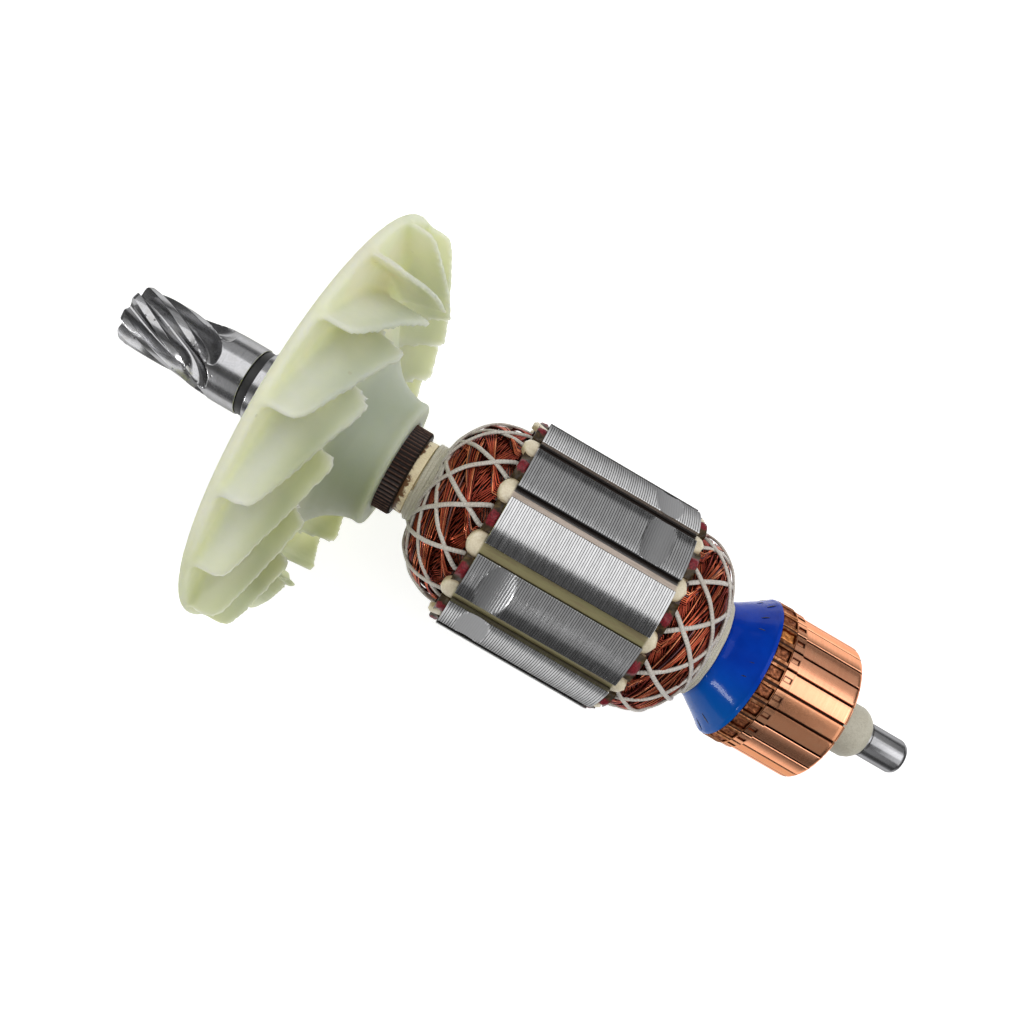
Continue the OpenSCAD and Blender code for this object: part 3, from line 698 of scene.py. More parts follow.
def blank_r(x):
    r = mix(6.875, SEAT_R - 0.03, smooth01((x + 12.6) / 8.2))
    d = x - TIP_X
    edge = r - 1.1 + np.sqrt(np.maximum(0, 1.21 - (1.1 - np.minimum(d, 1.1)) ** 2))
    return np.where(d < 1.1, edge, r)


def groove_floor(x):
    return np.where(x < RUN_X, 4.5, 4.5 + RUN_R - np.sqrt(np.maximum(0.01, RUN_R ** 2 - np.maximum(0, x - RUN_X) ** 2)))


def pinion_radius(x, a):
    """a is measured from the tooth crown, so the grid turns with the teeth."""
    u = a / 45.0
    v = np.abs(u - np.floor(u) - 0.5) * 45.0
    half = 1.7 + 1.15 * smooth01((x - RUN_X) / 8.5)
    g = groove_floor(x) + 2.45 * (np.radians(v) * 6.3 / half) ** 2.7
    b = blank_r(x)
    k = 0.10                                    # edges worn round
    h = np.clip(0.5 + 0.5 * (b - g) / k, 0, 1)
    return mix(b, g, h) - k * h * (1 - h)


def build_shaft():
    cols = np.r_[0, 2.4, 4.6, 6.0, 6.7, 7.1, 7.4, 7.8, 8.4, 9.2, 10.3, 11.6, 13.2, 15.0, 17.0, 19.6, 22.5]
    tooth = np.r_[cols, 45 - cols[1:-1][::-1]]
    a = np.concatenate([tooth + 45 * k for k in range(8)])
    xs = np.r_[np.linspace(TIP_X, TIP_X + 1.2, 9), np.linspace(-24.75, -13.0, 56), np.linspace(-12.8, -2.75, 74)]
    s = Shape()
    rows = []
    crown = 1.5 + 4.3 * (xs + 18.2)
    for x, c in zip(xs, crown):
        rows.append(ring_points(x, pinion_radius(x, a), a + c))
    end_turn = crown[-1]
    prof = rounded([[-2.7, SEAT_R - 0.03], [-2.68, SEAT_R], [2.9, SEAT_R], [2.9, 6.6], [4.9, 6.6], [4.9, 8.25], [16.2, 8.25],
                    [16.2, 6.5], [121.0, 6.5], [121.0, 5.0], [146.3, 5.0], [146.3, 4.0], [157.45, 4.0], [157.45, 3.7], [158.0, 3.7],
                    [158.0, 4.0], [165.9, 4.0], [166.75, 3.6], [167.2, 2.5], [167.2, 0.9], [166.6, 0.5], [166.6, 0.12]],
                   [0, 0, 0.25, 0.05, 0.05, 0.22, 0.1, 0.1, 0.1, 0.1, 0.1, 0.1, 0.08, 0.08, 0.08, 0.12, 0.7, 0.6, 0.3, 0.1, 0.1, 0],
                   closed=False, steps=4)
    for x, r in prof:
        rows.append(ring_points(x, np.full_like(a, r), a + end_turn))
    s.grid(np.array(rows), flip=True)
    finish_piece("shaft_steel", s, STEEL, ["shaft"], angle=30)


build_shaft()

s = Shape()
lathe(s, rounded([[2.92, 6.6], [4.88, 6.6], [4.88, SEAT_R - 0.3], [2.92, SEAT_R - 0.3]], [0.05, 0.05, 0.3, 0.3]), 128)
finish_piece("seal_ring_rubber", s, RUBBER, ["seal_ring"])

# ----------------------------------------------------------------- fan, bush


def build_fan():
    """The moulding, from the CAD fan: its corners and roots are rounded as moulded ones are."""
    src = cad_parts["fan"]
    mesh = src.data.copy()
    bm = bmesh.new()
    bm.from_mesh(mesh)
    bmesh.ops.remove_doubles(bm, verts=bm.verts, dist=1e-6)
    bm.to_mesh(mesh)
    bm.free()
    ob = bpy.data.objects.new("fan_source", mesh)
    scene.collection.objects.link(ob)
    mod = ob.modifiers.new("voxels", "REMESH")
    mod.mode, mod.voxel_size, mod.use_smooth_shade = "VOXEL", FAN_VOXEL * MM, True
    mod = ob.modifiers.new("soften", "SMOOTH")
    mod.factor, mod.iterations = 0.5, 4
    bpy.context.view_layer.update()
    done = bpy.data.meshes.new_from_object(ob.evaluated_get(bpy.context.evaluated_depsgraph_get()))
    bpy.data.objects.remove(ob)
    bpy.data.meshes.remove(mesh)
    done.name = "fan_moulding"
    done.materials.clear()
    done.materials.append(NYLON)
    piece = bpy.data.objects.new("fan_moulding", done)
    scene.collection.objects.link(piece)
    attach(piece, "root")
    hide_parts("fan")


FAN_VOXEL = 0.62
build_fan()


def build_bush():
    s = Shape()
    n, k = 60, 6
    a = np.arange(n * k) * 360.0 / (n * k)
    ph = (np.arange(n * k) % k) / k
    ridge = 9.72 + 0.38 * np.clip(1.15 - np.abs(ph - 0.5) * 3.1, 0, 1)
    inner = ring_points(16.25, np.full_like(a, 6.5), a)
    rows = [inner]
    for x, d in ((16.25, -0.25), (16.5, 0), (29, 0), (42.0, 0), (42.4, -0.35)):
        rows.append(ring_points(x, np.minimum(ridge, ridge + d), a))
    rows.append(ring_points(42.4, np.full_like(a, 6.5), a))
    s.grid(np.array(rows), along=True, flip=True)
    finish_piece("fan_bush_serrated", s, BUSH, ["fan_bush"], angle=60)


build_bush()

s = Shape()
lathe(s, rounded([[42.42, 6.5], [42.42, 8.5], [44.5, 8.62], [44.6, 7.6], [61.0, 7.6], [61.0, 6.5]], [0, 0.15, 0.2, 0.1, 0, 0]),
      160, seed=3, rough=0.035)
finish_piece("drive_sleeve_paper", s, PAPER, ["drive_end_sleeve"])
s = Shape()
lathe(s, [[101.9, 6.5], [101.9, 7.6], [117.2, 7.6], [117.2, 6.5]], 96)
finish_piece("commutator_sleeve_paper", s, PAPER, ["commutator_end_sleeve"])

# ---------------------------------------------------------------------- core

CORE_X0, CORE_LEN, SHEETS = 63.05, 36.85, 72
SLOT_FIRST = -47.5
SLOT_HALF = [[23.6, 1.3], [23.25, 2.95], [22.1, 3.05], [18.0, 2.15], [14.2, 1.25], [13.5, 0.7]]
CUTS = [(69.7, 27.5, 0.75, 7.1), (69.7, 57.5, 0.75, 7.1), (92.5, -32.5, 0.75, 6.6), (92.5, -62.5, 0.75, 6.6)]


def core_section(top_r, tops=11, slot=SLOT_HALF, mouth=1.3):
    """Angles, radii and a mark for tooth tops, once round the section, starting at the first slot."""
    ang, rad, top = [], [], []
    for k in range(12):
        mid = SLOT_FIRST + 30 * k
        for r, h in slot[::-1]:
            ang.append(mid + math.degrees(math.asin(h / r)))
            rad.append(r)
            top.append(0.0)
        edge = math.degrees(math.asin(mouth / top_r))
        ang.append(mid + edge)
        rad.append(top_r - 0.12)
        top.append(1.0)
        for t in np.linspace(edge + 0.3, 30 - edge - 0.3, tops):
            ang.append(mid + t)
            rad.append(top_r)
            top.append(1.0)
        ang.append(mid + 30 - edge)
        rad.append(top_r - 0.12)
        top.append(1.0)
        for r, h in slot:
            ang.append(mid + 30 - math.degrees(math.asin(h / r)))
            rad.append(r)
            top.append(0.0)
    return np.array(ang), np.array(rad), np.array(top)


def section_cap(ang, rad, bore, x, n=96):
    """Flat end with the bore cut out, as triangles: outline points first, then the bore's."""
    out = ring_points(x, rad, ang)
    hole = ring_points(x, np.full(n, bore), np.arange(n) * -360.0 / n)
    tris = tessellate_polygon([[(p[1], p[2], 0) for p in out], [(p[1], p[2], 0) for p in hole]])
    return hole, [list(t) for t in tris]


def holed(s, rows, ang, rad0, rad1, bore, x0, x1, **values):
    """Skin through the rows with flat ends and a bore, all joined."""
    n, m = rows.shape[:2]
    base = s.grid(rows, caps=False, flip=True, **values)
    hole, tris = section_cap(ang, rad0, bore, x0)
    hb = s.add(hole, [])
    hole2 = hole.copy()
    hole2[:, 0] = x1
    hb2 = s.add(hole2, [])
    _, tris2 = section_cap(ang, rad1, bore, x1)
    k = len(hole)

    def index(i, first, hb):
        return first + i if i < m else hb + i - m

    pts = np.vstack(s.v)
    for tri_list, first, hbase, sign in ((tris, base, hb, -1), (tris2, base + (n - 1) * m, hb2, 1)):
        for tri in tri_list:
            t = [index(i, first, hbase) for i in tri]
            nx = np.cross(pts[t[1]] - pts[t[0]], pts[t[2]] - pts[t[0]])[0]
            s.f.append(t if nx * sign > 0 else t[::-1])
    for i in range(k):
        s.f.append([hb + i, hb + (i + 1) % k, hb2 + (i + 1) % k, hb2 + i][::-1])


def build_core():
    ang, rad, top = core_section(25.0)
    pitch = CORE_LEN / SHEETS
    xs, dep = [], []
    for i in range(SHEETS):
        x0 = CORE_X0 + i * pitch
        xs += [x0, x0 + 0.075, x0 + pitch - 0.075]
        dep += [1.0, 0.0, 0.0]
    xs.append(CORE_X0 + CORE_LEN)
    dep.append(1.0)
    xs, dep = np.array(xs), np.array(dep)
    rg = np.random.default_rng(11)
    sheet_dr = np.repeat(rg.uniform(-0.012, 0.0, SHEETS), 3)
    sheet_dr = np.r_[sheet_dr, 0]
    X = xs[:, None] + 0 * ang[None, :]
    R = np.repeat(rad[None, :], len(xs), 0)
    R = R + top * sheet_dr[:, None]
    cut = np.zeros_like(X)
    for xc, a0, depth, width in CUTS:
        rc = (width * width / 4 + depth * depth) / (2 * depth)
        inside = np.abs(X - xc) < width / 2 + 0.4
        h = 25.0 - depth + rc - np.sqrt(np.maximum(0.01, rc * rc - np.minimum(np.abs(X - xc), width / 2 + 0.4) ** 2))
        da = np.radians((ang[None, :] - a0 + 180) % 360 - 180)
        lim = np.where(np.abs(da) < 0.26, h / np.cos(da), 99)
        hit = inside & (np.abs(da) < 0.26) & (top[None, :] > 0) & (R > lim)
        cut = np.where(hit, 1.0, cut)
        R = np.where(hit, lim, R)
    groove = top[None, :] * dep[:, None] * (1 - 0.75 * cut)
    ends = np.zeros(len(xs))
    ends[[0, -1]] = 1
    R = R - groove * 0.10 * (1 - ends[:, None]) - top * ends[:, None] * 0.05
    p = ring_points(X, R, ang[None, :])
    s = Shape()
    # marks the slot walls, which the core material paints near black as shade
    wall = (1 - top[None, :]) * np.ones_like(X)
    holed(s, p, ang, R[0], R[-1], 6.5, xs[0], xs[-1], cut=cut, groove=groove * (1 - ends[:, None]), wall=wall)
    finish_piece("core_laminations", s, CORE, ["lamination_stack"], angle=28)


build_core()


def build_plate(name, node, x0, x1, out, seed):
    """End plate of the core, its tooth tops swollen with lacquer; out is -1 for the drive end and is not used."""
    ang, rad, top = core_section(24.2, 13, [[23.3, 2.85], [22.1, 3.05], [18.0, 2.15], [14.2, 1.25], [13.5, 0.7]], 2.85)
    xs = np.linspace(x0, x1, 9)
    X = xs[:, None] + 0 * ang[None, :]
    tooth = (ang[None, :] - SLOT_FIRST) % 30 - 15
    rg = np.random.default_rng(seed)
    off = rg.uniform(-1.2, 1.2, 12)[((ang - SLOT_FIRST) // 30).astype(int) % 12]
    size = rg.uniform(0.85, 1.15, 12)[((ang - SLOT_FIRST) // 30).astype(int) % 12]
    across = np.exp(-((tooth - off[None, :]) / (4.2 * size[None, :])) ** 2)
    t = (X - x0) / (x1 - x0)
    lump = np.sin(np.clip(t, 0, 1) * PI) ** 0.6
    R = rad[None, :] + top * (0.5 * across * lump - 0.9 * (1 - across) * (0.3 + 0.7 * lump))
    R = R + top * 0.12 * np.sin(X * 3.1 + ang[None, :] * 0.9 + seed) * lump
    red = across * top * (0.55 + 0.45 * lump)
    p = ring_points(X, R, ang[None, :])
    s = Shape()
    holed(s, p, ang, R[0], R[-1], 6.5, x0, x1, red=red)
    finish_piece(name, s, PLATE, [node], angle=50)


build_plate("drive_plate_lacquered", "drive_end_plate", 61.0, 63.05, -1, 5)
build_plate("commutator_plate_lacquered", "commutator_end_plate", 99.9, 101.9, 1, 8)

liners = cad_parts["slot_liners"]
liners.data.materials.clear()
liners.data.materials.append(LINER)


def build_wedge(k):
    """Cream wedge: crowned, its ends rounded in plan and standing out of the core."""
    s = Shape()
    rg = np.random.default_rng(100 + k)
    x0, x1 = 59.7 + rg.uniform(0, 0.35), 102.35 - rg.uniform(0, 0.35)
    half = 2.74
    xs = np.r_[x0 + 2.7 * (1 - np.cos(np.linspace(0, PI / 2, 12))), np.linspace(x0 + 2.9, x1 - 2.9, 24),
               (x1 - 2.7 * (1 - np.cos(np.linspace(PI / 2, 0, 12))))]
    e = np.minimum(xs - x0, x1 - xs)
    w = half * np.sqrt(np.clip(1 - (1 - np.clip(e / 2.7, 0, 1)) ** 2, 0.0, 1)) ** 0.9
    w = np.maximum(w, 0.35)
    y = np.linspace(-1, 1, 21)
    mid = SLOT_FIRST + 30 * k
    # width of the painted shade band along the strip's -θ side, widest in the upper slots
    shade_to = {0: 0.35, 1: 0.30, 2: 0.98, 3: 1.1}.get(k, rg.uniform(0.4, 1.2))
    tops, bots, rim_t, lane = [], [], [], []
    for x, ww, ee in zip(xs, w, e):
        stand = smooth01(1 - ee / 3.6)
        ww = ww * (1 + 0.07 * stand)
        crown = 23.42 - 0.30 * np.abs(y) ** 2.2 - 0.55 * np.clip(np.abs(y) - 0.82, 0, 1) ** 1.2 * 2.0
        dome = crown - 0.45 * smooth01(1 - ee / 0.8) + 0.55 * stand * (1 - y ** 2)
        lane.append(np.r_[-y * ww - shade_to, np.full(len(y), -1.0)])
        tops.append(np.stack([np.full_like(y, x), -y * ww, dome], 1))
        bots.append(np.stack([np.full_like(y, x), y * ww, np.full_like(y, 22.14)], 1))
        rim_t.append(np.r_[smooth01((np.abs(y) - 0.72) / 0.28) * (1 if ee < 3.3 else 0.3), np.full(len(y), 1.0)])
    p = np.concatenate([np.array(tops), np.array(bots)], 1)
    a = math.radians(mid)
    Y, Z = p[..., 1].copy(), p[..., 2].copy()
    # local z is radial; turn to the slot's angle from +Z towards -Y
    p[..., 1] = Y * math.cos(a) - Z * math.sin(a)
    p[..., 2] = Y * math.sin(a) + Z * math.cos(a)
    s.grid(p, rim=np.array(rim_t), lane=np.array(lane))
    finish_piece(f"wedge_{k + 1:02d}", s, WEDGE, [f"slot_wedge_{k + 1:02d}"], angle=45)


for k in range(12):
    build_wedge(k)

# ------------------------------------------------------------- winding heads

HEAD_L = [[46.9, 9.2], [47.6, 11.9], [49.2, 15.1], [52.4, 18.6], [56.4, 20.5], [59.2, 21.2], [61.0, 21.3]]
HEAD_R = [[115.2, 12.4], [114.5, 14.9], [112.0, 18.4], [108.2, 20.9], [104.6, 21.6], [101.9, 21.5]]


class Dome:
    """Winding head: an outline from the neck to the core, turned about X."""

    def __init__(self, pts):
        q = spline(pts, 400)
        self.s = np.r_[0, np.cumsum(np.linalg.norm(np.diff(q, axis=0), axis=1))]
        self.q = q
        g = unit(np.gradient(q, axis=0))
        sign = 1.0 if pts[-1][0] > pts[0][0] else -1.0
        self.n = np.stack([-g[:, 1] * sign, g[:, 0] * sign], 1)
        self.sign = sign
        self.length = self.s[-1]

    def at(self, s, h):
        """x and r at arc length s, h above the surface."""
        x = np.interp(s, self.s, self.q[:, 0]) + h * np.interp(s, self.s, self.n[:, 0])
        r = np.interp(s, self.s, self.q[:, 1]) + h * np.interp(s, self.s, self.n[:, 1])
        return x, r

    def up(self, s, a):
        nx, nr = np.interp(s, self.s, self.n[:, 0]), np.interp(s, self.s, self.n[:, 1])
        y, z = polar(nr, a)
        return np.stack([nx, y, z], -1)

    def geodesic(self, c, h, n=24, s_end=None):
        """Half of a shortest path that turns at radius c: arc lengths and angles in degrees, from the turning point out."""
        end = self.length if s_end is None else s_end
        c = min(c, self.at(end, h)[1] - 0.25)
        ss = np.linspace(0, self.length, 800)
        rr = self.at(ss, h)[1]
        i = int(np.argmax(rr > c))
        s0 = ss[i] if i == 0 else np.interp(c, [rr[i - 1], rr[i]], [ss[i - 1], ss[i]])
        c = max(min(c, self.at(s0, h)[1] - 1e-6), 0.5)
        q = np.linspace(0, 1, 400)
        s = s0 + (end - s0) * q * q
        r = self.at(s, h)[1]
        f = c / (r * np.sqrt(np.maximum(r * r - c * c, 1e-9))) * 2 * q * (end - s0)
        f[0] = f[1]
        a = np.r_[0, np.cumsum((f[1:] + f[:-1]) / 2 * np.diff(q))]
        qq = np.linspace(0, 1, n)
        return np.interp(qq, q, s), np.degrees(np.interp(qq, q, a))


def wire_run(d, c, h_ref, reach, n, tail, low):
    """One wire from own angle low up to the slot at own angle reach: along the parallel where it turns, then the
    shortest way out, then straight into the slot over the last tail millimetres. Gives arc lengths and angles."""
    ss, aa = d.geodesic(c, h_ref, n, d.length - tail)
    start = reach - aa[-1]
    flat = np.arange(low, start, 5.0)
    sf = np.r_[np.full(len(flat), ss[0]), ss, d.length - tail * 0.5, d.length]
    af = np.r_[flat, start + aa, reach, reach]
    return sf, af


def wire_head(name, pts, seed, bands, deep_c):
    """Copper wires of one winding head: twelve coils laid like roof tiles, each rising towards its slot."""
    d = Dome(pts)
    s = Shape()
    rg = np.random.default_rng(seed)
    for k in range(12):
        turn = SLOT_FIRST + 30 * k - 75
        for c0, c1, n, top, low, tail, spread, drop in bands:
            lift = rg.uniform(-0.05, 0.03)
            shift = rg.uniform(-1.0, 1.0)
            e0, e1 = rg.uniform(-0.25, 0.25, 2)
            sway = rg.integers(1 << 30)
            split = rg.integers(2, max(3, n - 1))
            ss1, aa1 = d.geodesic(c1, -1.0, 60, d.length - tail)
            for j in range(n):
                t = j / max(n - 1, 1)
                c = mix(c0 + e0, c1 + e1, t) + rg.uniform(-0.04, 0.04) + (0.12 if j >= split else -0.12)
                sf, af = wire_run(d, c, -1.0, 75 + (0.5 - t) * spread, 15, tail * rg.uniform(0.85, 1.15), low)
                grow = np.linspace(0, 1, len(af))
                lead = 75 - aa1[-1] + np.interp(sf, ss1, aa1)
                h = top - np.maximum(0, lead - af) / 60.0 + lift + rg.uniform(-0.05, 0.03) + 0.025 * wobble(af / 11, rg.integers(1 << 30), 3)
                h = h - drop * smooth01((sf - d.length * 0.34) / (d.length * 0.4)) - 0.28 * smooth01((af - 67) / 8)
                ang = turn + af + shift * (1 - grow ** 2) + 0.5 * wobble(af / 17, sway, 2) * (1 - grow ** 4) + 0.06 * wobble(af / 13, rg.integers(1 << 30), 3)
                x, r = d.at(sf, h)
                p, up = ring_points(x, r, ang), d.up(sf, ang)
                into = p[-1].copy()
                into[0] += 1.4 * d.sign
                p, up, h = np.vstack([p, into[None]]), np.vstack([up, up[-1:]]), np.r_[h, h[-1]]
                tone = float(np.clip(0.5 + 0.30 * rg.standard_normal(), 0, 1))
                # darker the lower the wire lies: painted shade under the wires above it
                deep = np.clip((-h - 1.75) / 1.7, 0, 0.8)
                grey = 0.8 if rg.uniform() < 0.07 else 0.0
                tube(s, p, up, 0.25, 6, flank=True, tone=np.full(len(p), tone), deep=deep, grey=grey)
        # the far halves, low in the gaps and going the other way
        for j in range(9):
            c = mix(deep_c[0], deep_c[1], j / 8) + rg.uniform(-0.05, 0.05)
            sf, af = wire_run(d, c, -2.0, 75 + (j - 4) * 1.5, 14, 0.9 * rg.uniform(0.8, 1.2), 34)
            h = -0.8 - 0.07 * j - 0.75 * smooth01((75 - af) / 26) + rg.uniform(-0.06, 0.05) + 0.03 * wobble(af / 9, rg.integers(1 << 30), 3)
            ang = SLOT_FIRST + 30 * k + 75 - af
            x, r = d.at(sf, h)
            p, up = ring_points(x, r, ang), d.up(sf, ang)
            tube(s, p, up, 0.24, 6, flank=True, tone=np.full(len(p), rg.uniform(0.15, 0.7)), deep=0.15, grey=0.0)
    return finish_piece(name, s, WIRE, [], angle=None)


def winding_body():
    """The mass under the wires, with the coil sides through the slots."""
    s = Shape()
    for pts, end_x in ((HEAD_L, 61.0), (HEAD_R, 101.9)):
        d = Dome(pts)
        ss = np.linspace(0.6, d.length, 36)
        a = np.arange(144) * 2.5
        rg = np.random.default_rng(4)
        ph = rg.uniform(0, 6.3, 8)
        S, A = ss[:, None], np.radians(a)[None, :]
        h = mix(-2.0, -3.0, smooth01(S / 7)) + 0.22 * np.sin(12 * A + S * 0.9 * d.sign + ph[0]) + 0.15 * np.sin(23 * A - S * 1.7 + ph[1]) + 0.12 * np.sin(37 * A + S * 2.9 + ph[2])
        at_tooth = 0.5 + 0.5 * np.cos(12 * (A - math.radians(SLOT_FIRST + 15)))
        near = smooth01((S - 0.6 * d.length) / (0.3 * d.length)) * at_tooth ** 1.5
        h = h + 1.75 * near
        x, r = d.at(S + 0 * A, h)
        r = np.minimum(r, 20.6)
        rows = ring_points(x, np.maximum(r, 7.9), a[None, :])
        inner0 = ring_points(rows[0, :, 0].mean(), np.full(144, 7.62), a)
        inner1 = ring_points(end_x, np.full(144, 7.62), a)
        rows = np.concatenate([inner0[None], rows, inner1[None]], 0)
        s.grid(rows, along=True, flip=d.sign > 0, near=np.vstack([near[:1] * 0, near, near[:1] * 0]))
    side = np.array([[21.9, 2.72], [18.0, 1.86], [14.4, 1.01], [13.84, 0.56]])
    for k in range(12):
        a = math.radians(SLOT_FIRST + 30 * k)
        y = np.r_[side[:, 1], -side[::-1, 1]]
        z = np.r_[side[:, 0], side[::-1, 0]]
        yy, zz = y * math.cos(a) - z * math.sin(a), y * math.sin(a) + z * math.cos(a)
        p = np.array([np.stack([np.full(8, x), yy, zz], 1) for x in (60.6, 102.3)])
        s.grid(p, flip=True)
    finish_piece("winding_body", s, LACQUER, ["winding"], angle=60)


winding_body()
# bands: c outer, c inner, wires, height, lowest own angle drawn, straight tail, spread in the slot, sink towards the slot
wire_head("winding_wires_drive", HEAD_L, 21,
          [(18.3, 15.0, 7, -0.47, -42, 1.6, 7.0, 0.0), (18.0, 15.2, 5, -1.22, -10, 2.2, 6.0, 0.0), (14.7, 9.6, 9, -0.62, -36, 2.4, 5.0, 1.6)],
          (18.55, 15.0))
wire_head("winding_wires_commutator", HEAD_R, 22,
          [(20.5, 17.4, 7, -0.47, -42, 1.6, 7.0, 0.0), (20.2, 17.6, 5, -1.22, -10, 2.2, 6.0, 0.0), (17.1, 12.5, 9, -0.62, -36, 2.4, 5.0, 1.6)],
          (19.3, 16.6))

# -------------------------------------------------------------------- lacing


def lace(name, pts, seed, node, over, under, other, plate_x):
    """Twine over one head: out to each tooth, round behind it inside the plate, and back.
    over and under give {tooth: (foot angle, closest radius)} of the strands that the photograph shows."""
    d = Dome(pts)
    s = Shape()
    rg = np.random.default_rng(seed)
    for k in range(12):
        tooth = SLOT_FIRST + 15 + 30 * k
        key = round((tooth + 180) % 360 - 180, 1)

        def leg(foot, c, h0, h1, sgn):
            ss, aa = d.geodesic(c, 0.0, 34)
            more = np.linspace(0, 1, 14)[1:]
            s_in = ss[0] * (1 - smooth01(more))
            a_in = -other[2] * more
            dip = np.r_[(-0.9 * smooth01((more - 0.5) * 2))[::-1], np.zeros(len(ss))]
            ss = np.r_[s_in[::-1], ss]
            aa = np.r_[a_in[::-1], aa]
            h = mix(h0, h1, smooth01((ss - ss.min()) / 5.0)) + dip
            ang = foot + sgn * (aa - aa[-1])
            x, r = d.at(ss, h)
            return ring_points(x, r, ang), d.up(ss, ang), smooth01(1 - ss / 2.2), ang[-1], r[-1]

        fo, co = over.get(key, (tooth - rg.uniform(4.5, 6.5), rg.uniform(*other[:2])))
        fu, cu = under.get(key, (tooth + rg.uniform(5.0, 7.2), rg.uniform(*other[:2])))
        pP, uP, nP, aP, rP = leg(fo, co, -0.15, -0.04, -1)
        pQ, uQ, nQ, aQ, rQ = leg(fu, cu, -0.5, -0.42, 1)
        tt = np.linspace(0, 1, 9)
        bend = np.sin(tt * PI) ** 0.5
        pL = ring_points(mix(pts[-1][0], plate_x, bend), mix(rP, rQ, tt) - 0.25 * bend, mix(aP, aQ, tt))[1:-1]
        uL = ring_points(np.zeros(9), np.ones(9), mix(aP, aQ, tt))[1:-1]
        p = np.vstack([pP, pL, pQ[::-1]])
        u = np.vstack([uP, uL, uQ[::-1]])
        nk = np.r_[nP, np.zeros(len(pL)), nQ[::-1]]
        length = np.r_[0, np.cumsum(np.linalg.norm(np.diff(p, axis=0), axis=1))]
        m = int(length[-1] / 0.40)
        w = np.linspace(0, length[-1], m)
        p = np.stack([np.interp(w, length, p[:, i]) for i in range(3)], 1)
        for _ in range(2):
            p[1:-1] = (p[:-2] + 2 * p[1:-1] + p[2:]) / 4
        u = unit(np.stack([np.interp(w, length, u[:, i]) for i in range(3)], 1))
        nk = np.interp(w, length, nk)
        tube(s, p, u, 0.52, 10, flat=0.64, twist=0.30, lobes=3, depth=0.07, lay=w * 9.0, neck=nk)
    return finish_piece(name, s, TWINE, [node], angle=None)


lace("drive_lacing_twine", HEAD_L, 31, "drive_end_lacing",
     {-62.5: (-66.0, 7.5), -32.5: (-37.3, 10.3), -2.5: (-7.9, 9.5), 27.5: (21.7, 8.0)},
     {-62.5: (-53.0, 8.0), -32.5: (-25.0, 10.0), -2.5: (5.2, 8.8), 27.5: (34.9, 12.0), 57.5: (63.5, 12.0)},
     (8.0, 11.5, 28.0), 61.8)
lace("commutator_lacing_twine", HEAD_R, 32, "commutator_end_lacing",
     {-62.5: (-69.0, 13.6), -32.5: (-36.6, 14.0), -2.5: (-9.0, 13.5), 27.5: (22.2, 12.4)},
     {-62.5: (-53.5, 12.4), -32.5: (-25.2, 12.4), -2.5: (5.0, 12.6), 27.5: (34.0, 12.6)},
     (12.6, 14.6, 34.0), 101.1)


def wraps(name, node, loops, seed):
    """Turns of twine round the neck. Each loop is (x, r, tilt in mm, start angle, turns, x gain over the turns, r gain)."""
    s = Shape()
    rg = np.random.default_rng(seed)
    for x, r, tilt, a0, turns, dx, dr in loops:
        n = int(110 * turns)
        t = np.linspace(0, 1, n)
        a = a0 + 360 * turns * t
        xx = x + dx * t + tilt * np.cos(np.radians(a - a0)) + 0.05 * wobble(a / 40, rg.integers(1 << 30), 3)
        rr = r + dr * t + 0.05 * wobble(a / 50, rg.integers(1 << 30), 3)
        p = ring_points(xx, rr, a)
        up = ring_points(np.zeros(n), np.ones(n), a)
        length = np.r_[0, np.cumsum(np.linalg.norm(np.diff(p, axis=0), axis=1))]
        tube(s, p, up, 0.56, 10, flat=0.85, twist=0.32, lobes=3, depth=0.09, lay=length * 9.0, neck=np.ones(n))
    return finish_piece(name, s, TWINE, [node], angle=None)


wraps("drive_neck_twine", "drive_end_neck_cord",
      [(45.0, 8.14, 0.0, 20, 3.0, 2.2, 0.0), (44.95, 8.72, 0.06, 130, 2.6, 2.1, 0.05), (47.0, 9.15, 0.1, 250, 1.3, 0.6, 0.55)], 41)
wraps("commutator_neck_twine", "commutator_neck_cord",
      [(114.95, 8.1, 0.0, 0, 2.8, 1.75, 0.0), (114.95, 9.05, 0.0, 60, 2.8, 1.75, 0.0), (114.95, 9.95, 0.0, 140, 2.8, 1.75, 0.0),
       (115.0, 10.8, 0.04, 200, 2.8, 1.7, 0.0), (114.1, 12.3, 0.1, 120, 1.01, 0.0, 0.0),
       (115.05, 11.8, 0.08, 20, 1.01, 0.0, 0.0), (115.95, 11.62, 0.06, 250, 1.01, 0.0, 0.0), (116.7, 11.3, 0.05, 160, 1.01, 0.0, 0.0)], 42)

# --------------------------------------------------------------- resin, ends


